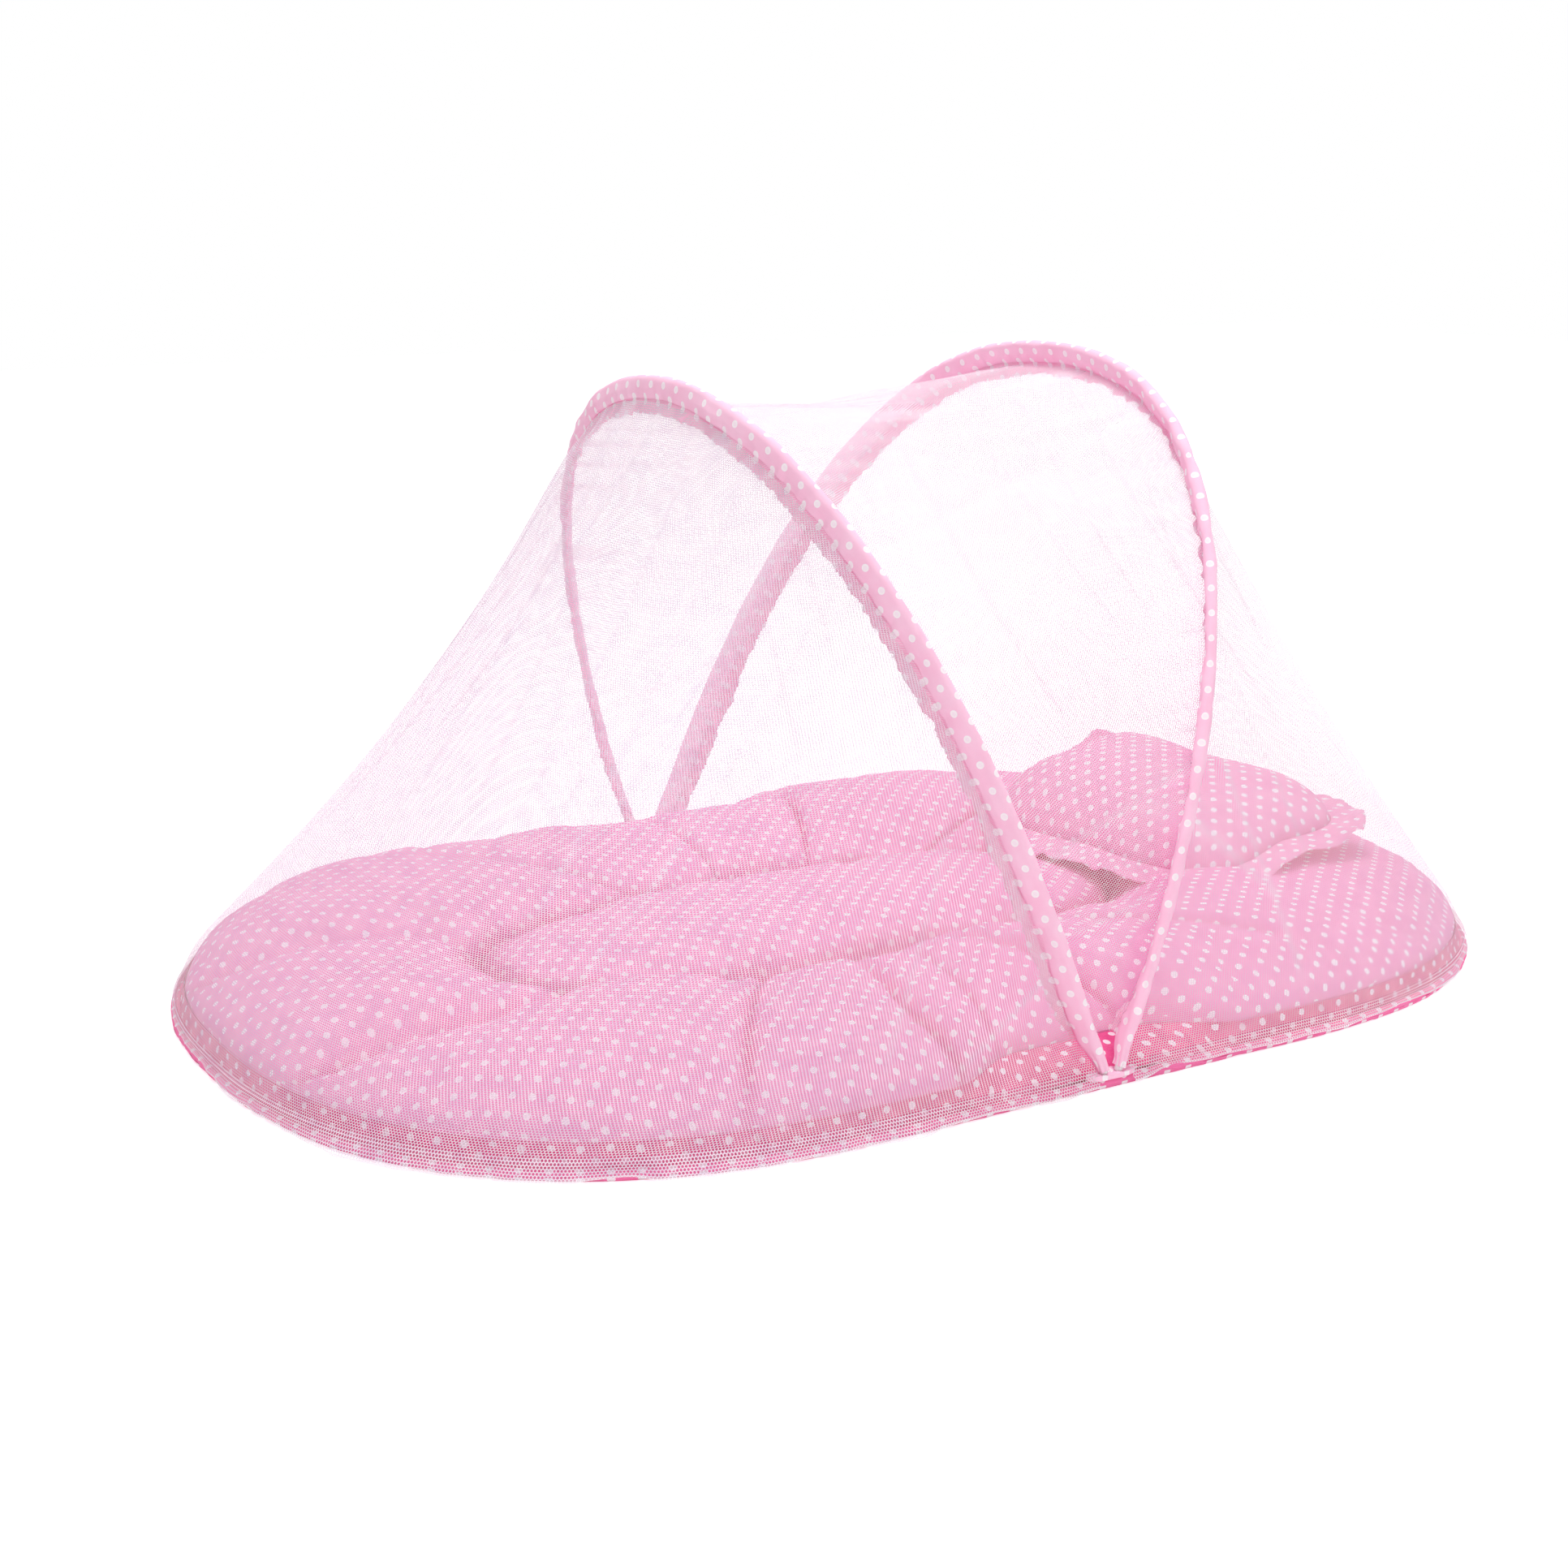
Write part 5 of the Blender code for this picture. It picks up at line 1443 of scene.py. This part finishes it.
def centre_net():
    share = np.linspace(0, 1, NET_COLUMNS + 1)
    first, second = HOOPS["foot_hoop"].seam(share, 1), HOOPS["head_hoop"].seam(share, -1)
    t = np.linspace(0, 1, RIDGE_ROWS + 1)
    points = first[:, None] * (1 - t)[None, :, None] + second[:, None] * t[None, :, None]
    points[:, :, 2] -= RIDGE_SAG * np.sin(math.pi * t)[None, :] * np.sin(math.pi * share)[:, None]
    spans = np.linalg.norm(second - first, axis=1)
    s = share[:, None] * RIDGE_LENGTH
    ribs = bumps(s, t[None, :] * 0.02, RIDGE_RIB_WIDTH, 61)
    near_hoops = np.exp(-t / 0.16) + np.exp(-(1 - t) / 0.16)
    lift = ribs * PLEAT_HEIGHT * near_hoops[None, :] + ripple(s, t[None, :] * 0.3, RIDGE_SWAY)
    gather = smoothstep(0.2, 0.85, ribs) * 0.45 * near_hoops[None, :]
    top_band = bell(share - 0.5, 0.12)[:, None]
    strong = bumps(s, t[None, :] * 0.05, RIDGE_TOP_WIDTH, 63)
    lift += strong * 0.003 * top_band
    gather += smoothstep(0.2, 0.8, strong) * 0.35 * top_band
    for at, slope, width in RIDGE_CREASES:
        apart = (share[:, None] - at - slope * t[None, :]) * RIDGE_LENGTH
        lift += 0.0025 * bell(apart, width)
        gather += 0.35 * bell(apart, width * 0.35)
    hold = np.sin(math.pi * np.clip(t, 0, 1)) ** 0.35
    hold = hold[None, :] * (smoothstep(0, 0.03, share) * smoothstep(1, 0.97, share))[:, None]
    points = points + surface_normals(points) * (lift * hold)[..., None]
    cloth = np.stack([np.broadcast_to(s, lift.shape), spans[:, None] * t[None, :]], -1)
    gather = np.clip(gather, 0, 1)
    return make_panel("ridge_net", points, cloth, gather, np.zeros_like(gather), "centre_net")


def fold_with_hoops(obj):
    """Cloth that rides on the foot hoop, with a mesh of its own."""
    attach(obj, "foot_hoop")
    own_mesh(obj)


def make_nets():
    foot = end_net("foot_end_net", "foot_hoop", -1, foot_creases(), loose_foot_hem, 31, "foot_net")
    fold_with_hoops(foot)
    head = end_net("head_end_net", "head_hoop", 1, head_creases(), loose_head_hem, 36, "head_net")
    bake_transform(head)
    ridge = centre_net()
    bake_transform(ridge)


# Base

BINDING_LUMPS = (0.02, 0.10, 71)
BINDING_PUCKER = (0.007, 0.10, 72)
BINDING_CLOTH_WIDTH = 0.025
FLOOR_CELLS = 80
FLOOR_WAVES = (0.06, 0.0003, 75)
FLOOR_CRINKLE = (0.012, 0.0001, 76)
TAPE_TOP = TAPE_BOTTOM + TAPE_HEIGHT
TAPE_THICKNESS = 0.0013
ZIP_HALF_TAPE = 0.0033
TAPE_LEAN = (0.03, 0.00022, 0)
COIL_START = 0.012
COIL_PITCH = 0.0016
COIL_STEPS = 8
COIL_HALF_WIDTH, COIL_HALF_HEIGHT = 0.0009, 0.0011
COIL_WIRE_RADIUS = 0.0003
GUSSET_TOP, GUSSET_BOTTOM = 0.0235, 0.0056
GUSSET_TUCK, GUSSET_TUCK_AT_FEET = 0.0030, 0.0082
GUSSET_LOOSEST = 0.68
GUSSET_FOLD = (0.016, 1.0, 93)
GUSSET_CRUMPLE = (0.006, 0.5, 94)
TAB_HALF_LENGTH, TAB_HALF_WIDTH, TAB_POWER = 0.0215, 0.0064, 2.4
TAB_BOTTOM = 0.0081
TAB_RING = 0.62
TAB_HOLLOWS = (-0.007, 0.008)
TAB_HOLLOW_RADIUS, TAB_HOLLOW_DEPTH = 0.0042, 0.0032
TAB_GATHER = (0.0035, 0.0009, 91)


def binding_place(u, v):
    distance = v * RIM.length
    turn = u * 2 * math.pi
    fullness = 1 + ripple(distance, 0, BINDING_LUMPS)
    fullness = fullness + ripple(distance + u * 0.01, u * 0.02, BINDING_PUCKER)
    radius = (BINDING_RADIUS - 0.0001) * fullness
    out = radius * np.cos(turn)
    up = np.maximum(radius * np.sin(turn), -RIM_HEIGHT)
    flat = RIM.at(distance) - RIM.inwards(distance) * out[:, None]
    cloth = np.column_stack([distance, u * BINDING_CLOTH_WIDTH])
    return np.column_stack([flat, RIM_HEIGHT + up]), cloth


def floor_place(u, v):
    ring, turn = square_rings(u, v)
    edge = RIM.at(turn * RIM.length) + RIM.inwards(turn * RIM.length) * 0.0022
    flat = edge * ring[:, None]
    waves = ripple(flat[:, 0], flat[:, 1], FLOOR_WAVES) + ripple(flat[:, 0], flat[:, 1], FLOOR_CRINKLE)
    return np.column_stack([flat, SHEET_MIDDLE - 0.0004 + waves * smoothstep(1, 0.95, ring)]), flat


def gusset_place(u, v):
    """Loose cloth between the mattress's lower edge and the ring, folded on itself in places."""
    distance = v * RIM.length
    inwards = RIM.inwards(distance)
    rim = RIM.at(distance)
    reach = MATTRESS_INSET + waist(rim[:, 0]) * (np.abs(rim[:, 1]) > SIDE_FROM) - 0.001
    low = np.where(np.abs(rim[:, 0]) < 0.05, GUSSET_TUCK_AT_FEET, GUSSET_TUCK)
    inset = reach + (low - reach) * u
    loose = 0.4 + 0.6 * bell((distance / RIM.length - GUSSET_LOOSEST) * 6, 1.0)
    fold = ripple(distance + u * 0.006, u * 0.012, GUSSET_FOLD)
    fold = fold + ripple(distance - u * 0.004, u * 0.01, GUSSET_CRUMPLE)
    slack = loose * np.sin(math.pi * u)
    inset = np.maximum(inset + fold * 0.0030 * slack, 0.0016)
    fall = u ** (1.0 + 0.6 * (reach > 0.02))
    height = GUSSET_TOP + (GUSSET_BOTTOM - GUSSET_TOP) * fall + fold * 0.0018 * slack
    flat = rim + inwards * inset[:, None]
    cloth = np.column_stack([distance, u * np.maximum(reach, 0.02)])
    # Painted shade in the fold hollows, most where the cloth hangs loosest
    painted_crease_shade = smoothstep(-0.1, -0.8, fold) * loose
    return np.column_stack([flat, height]), cloth, {"seam": np.ones_like(u), "painted_crease_shade": painted_crease_shade}


def tape_round(name, side, low, high, seed):
    """An upright tape that follows the ring round one end."""
    route = RIM_END[side]

    def place(u, v):
        distance = v * route.length
        lean = ripple(distance, 0, TAPE_LEAN, seed) * u
        out = route.inwards(distance) * (lean * (1 if side > 0 else -1))[:, None]
        flat = route.at(distance) + out
        height = low + u * (high - low)
        return np.column_stack([flat, height]), np.column_stack([distance, u * (high - low)])

    return applied(grid(name, 4, 420, place), "SOLIDIFY", thickness=TAPE_THICKNESS, offset=0.0)


def zip_coil():
    """The closed coil between the zip's two tapes: one fine nylon spiral round the foot end."""
    route = RIM_END[-1]
    steps = int((route.length - 0.05) / COIL_PITCH) * COIL_STEPS
    angle = np.arange(steps) * (2 * math.pi / COIL_STEPS)
    distance = COIL_START + np.arange(steps) * COIL_PITCH / COIL_STEPS
    flat = route.at(distance) + route.inwards(distance) * (COIL_HALF_WIDTH * np.cos(angle))[:, None]
    height = TAPE_BOTTOM + TAPE_HEIGHT / 2 + COIL_HALF_HEIGHT * np.sin(angle)
    curve = bpy.data.curves.new("zip_coil", "CURVE")
    curve.dimensions = "3D"
    spline = curve.splines.new("POLY")
    spline.points.add(steps - 1)
    points = np.column_stack([flat, height, np.ones(steps)])
    spline.points.foreach_set("co", points.astype(np.float32).ravel())
    curve.bevel_depth = COIL_WIRE_RADIUS
    curve.bevel_resolution = 0
    curve.use_fill_caps = True
    obj = add_object("zip_coil", curve)
    pick(obj)
    bpy.ops.object.convert(target="MESH")
    return obj


def make_base():
    binding = close_seams(grid("ring_binding_cloth", 16, 900, binding_place))
    dress(binding, DEEP_PINK, "base", ["base_rim_binding"])
    floor = grid("floor_cloth", FLOOR_CELLS, FLOOR_CELLS, floor_place)
    dress(floor, LINING, "base", ["floor_sheet"])
    gusset = close_seams(grid("gusset_cloth", 12, 900, gusset_place))
    dress(gusset, GUSSET, "base")
    hem_tape = tape_round("hem_tape_cloth", 1, TAPE_BOTTOM, TAPE_TOP, 81)
    dress(hem_tape, TAPE, "base", ["net_hem_tape"])
    lower_tape = tape_round("zip_lower_tape", -1, TAPE_BOTTOM, TAPE_BOTTOM + ZIP_HALF_TAPE, 82)
    dress(lower_tape, TAPE, "base", ["zip_base_tape"])
    upper_tape = tape_round("zip_upper_tape", -1, TAPE_TOP - ZIP_HALF_TAPE, TAPE_TOP, 83)
    dress(upper_tape, TAPE, stands_for=["zip_net_tape"])
    fold_with_hoops(upper_tape)
    dress(zip_coil(), COIL, "base")


def make_foot_tab(name, side):
    """A folded cloth tab, puckered where it is sewn down round the hoops' ends."""

    def place(u, v):
        ring, turn = square_rings(u, v)
        corner = superellipse(turn * 2 * math.pi, TAB_HALF_LENGTH, TAB_HALF_WIDTH, TAB_POWER)
        low = ring > TAB_RING
        across = np.where(low, 1.0, ring / TAB_RING)
        flat = corner * across[:, None]
        wall = np.clip((ring - TAB_RING) / (1 - TAB_RING), 0, 1)
        gather = ripple(turn * 0.14, 0, TAB_GATHER)
        x = flat[:, 0]
        away = [np.hypot(x - middle, flat[:, 1] * 1.2) for middle in TAB_HOLLOWS]
        hollow = sum(bell(distance, TAB_HOLLOW_RADIUS) for distance in away)
        top = PIVOT_HEIGHT - 0.0006 - TAB_HOLLOW_DEPTH * hollow + gather
        height = np.where(low, top * (1 - wall) + TAB_BOTTOM * wall, top)
        flat = flat * (1 + (gather * 60 * wall))[:, None]
        places = np.column_stack([x, side * RIM_HALF_WIDTH + flat[:, 1], height])
        return places, flat + np.array([0.0, 0.2])

    dress(grid(name + "_cloth", 48, 48, place), PINK, "base", [name])


# Parts kept as they are, with their own finish


def finish_rigid_parts():
    kept = {
        STEEL: ["base_rim_wire", "base_rim_ferrule", "foot_hoop_wire", "head_hoop_wire"],
        PLASTIC: [f"{hoop}_{end}_cap" for hoop in HOOPS for end in ("near", "far")],
        ENAMEL: ["zip_slider", "zip_pull"],
    }
    for finish, names in kept.items():
        for name in names:
            wear(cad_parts[name].data, finish)


# Studio

CAMERA_AZIMUTH = math.radians(-31.46)
CAMERA_ELEVATION = math.radians(14.17)
CAMERA_DISTANCE = 1.934
CAMERA_TARGET = Vector((-0.0582, 0, 0.1558))
CAMERA_LENS = 54.34
CAMERA_SENSOR = 36
BACKDROP_SIZE = 14
BACKDROP_GLOW = 0.60
WHITE = (1, 1, 1, 1)
ROOM_LIGHT = 0.52
LIGHTS_TARGET = Vector((0, 0, 0.15))
LIGHTS = (
    ("key_light", (0.2, 0.4, 2.8), 1.3, 49),
    ("fill_light", (-1.2, -2.6, 1.6), 2.4, 23),
    ("side_light", (2.4, -0.8, 1.8), 2.0, 9),
)


def facing(direction):
    """The turn of a camera or a light that stands that way from what it looks at."""
    return direction.to_track_quat("Z", "Y").to_euler()


def make_camera():
    flat = math.cos(CAMERA_ELEVATION)
    across, along = math.sin(CAMERA_AZIMUTH) * flat, -math.cos(CAMERA_AZIMUTH) * flat
    back = Vector((across, along, math.sin(CAMERA_ELEVATION)))
    camera = add_object("camera", bpy.data.cameras.new("camera"))
    camera.data.lens = CAMERA_LENS
    camera.data.sensor_width = CAMERA_SENSOR
    camera.location = CAMERA_TARGET + back * CAMERA_DISTANCE
    camera.rotation_euler = facing(back)
    bpy.context.scene.camera = camera


def make_backdrop():
    """A pale floor that looks white to the camera, and still takes the bed's soft shadow."""
    deselect()
    bpy.ops.mesh.primitive_plane_add(size=BACKDROP_SIZE, location=(0, 0, 0))
    floor = bpy.context.active_object
    floor.name = "studio_floor"
    pale = Finish("pale_backdrop", Base_Color=(0.9, 0.9, 0.9, 1), Roughness=0.9, Specular_IOR_Level=0.1)
    pale.shader.inputs["Emission Color"].default_value = WHITE
    path = pale.node("ShaderNodeLightPath", {}, {}, "Is Camera Ray")
    rays = path.socket.node.outputs
    seen = path.most(Value(pale, rays["Is Glossy Ray"])).most(Value(pale, rays["Is Transmission Ray"]))
    pale.set("Emission Strength", seen * BACKDROP_GLOW)
    floor.data.materials.append(pale.material)


def make_world():
    """A white room: plain white to the camera, and dimmer as a light."""
    world = bpy.data.worlds.new("studio")
    bpy.context.scene.world = world
    world.use_nodes = True
    sky = world.node_tree
    ground = sky.nodes["Background"]
    ground.inputs["Color"].default_value = WHITE
    ground.inputs["Strength"].default_value = ROOM_LIGHT
    white = sky.nodes.new("ShaderNodeBackground")
    white.inputs["Color"].default_value = WHITE
    white.inputs["Strength"].default_value = 1.0
    blend = sky.nodes.new("ShaderNodeMixShader")
    ray = sky.nodes.new("ShaderNodeLightPath")
    sky.links.new(ray.outputs["Is Camera Ray"], blend.inputs[0])
    sky.links.new(ground.outputs[0], blend.inputs[1])
    sky.links.new(white.outputs[0], blend.inputs[2])
    sky.links.new(blend.outputs[0], sky.nodes["World Output"].inputs["Surface"])


def make_studio():
    make_camera()
    make_backdrop()
    make_world()
    for name, place, size, power in LIGHTS:
        lamp = bpy.data.lights.new(name, "AREA")
        lamp.size = size
        lamp.energy = power
        light = add_object(name, lamp)
        light.location = place
        light.rotation_euler = facing(Vector(place) - LIGHTS_TARGET)
    bpy.context.scene.view_settings.view_transform = "Standard"


make_studio()
finish_rigid_parts()
make_base()
make_foot_tab("near_foot_tab", -1)
make_foot_tab("far_foot_tab", 1)
make_mattress()
make_pillow()
make_hoop("foot_hoop", 101)
make_hoop("head_hoop", 201)
make_nets()
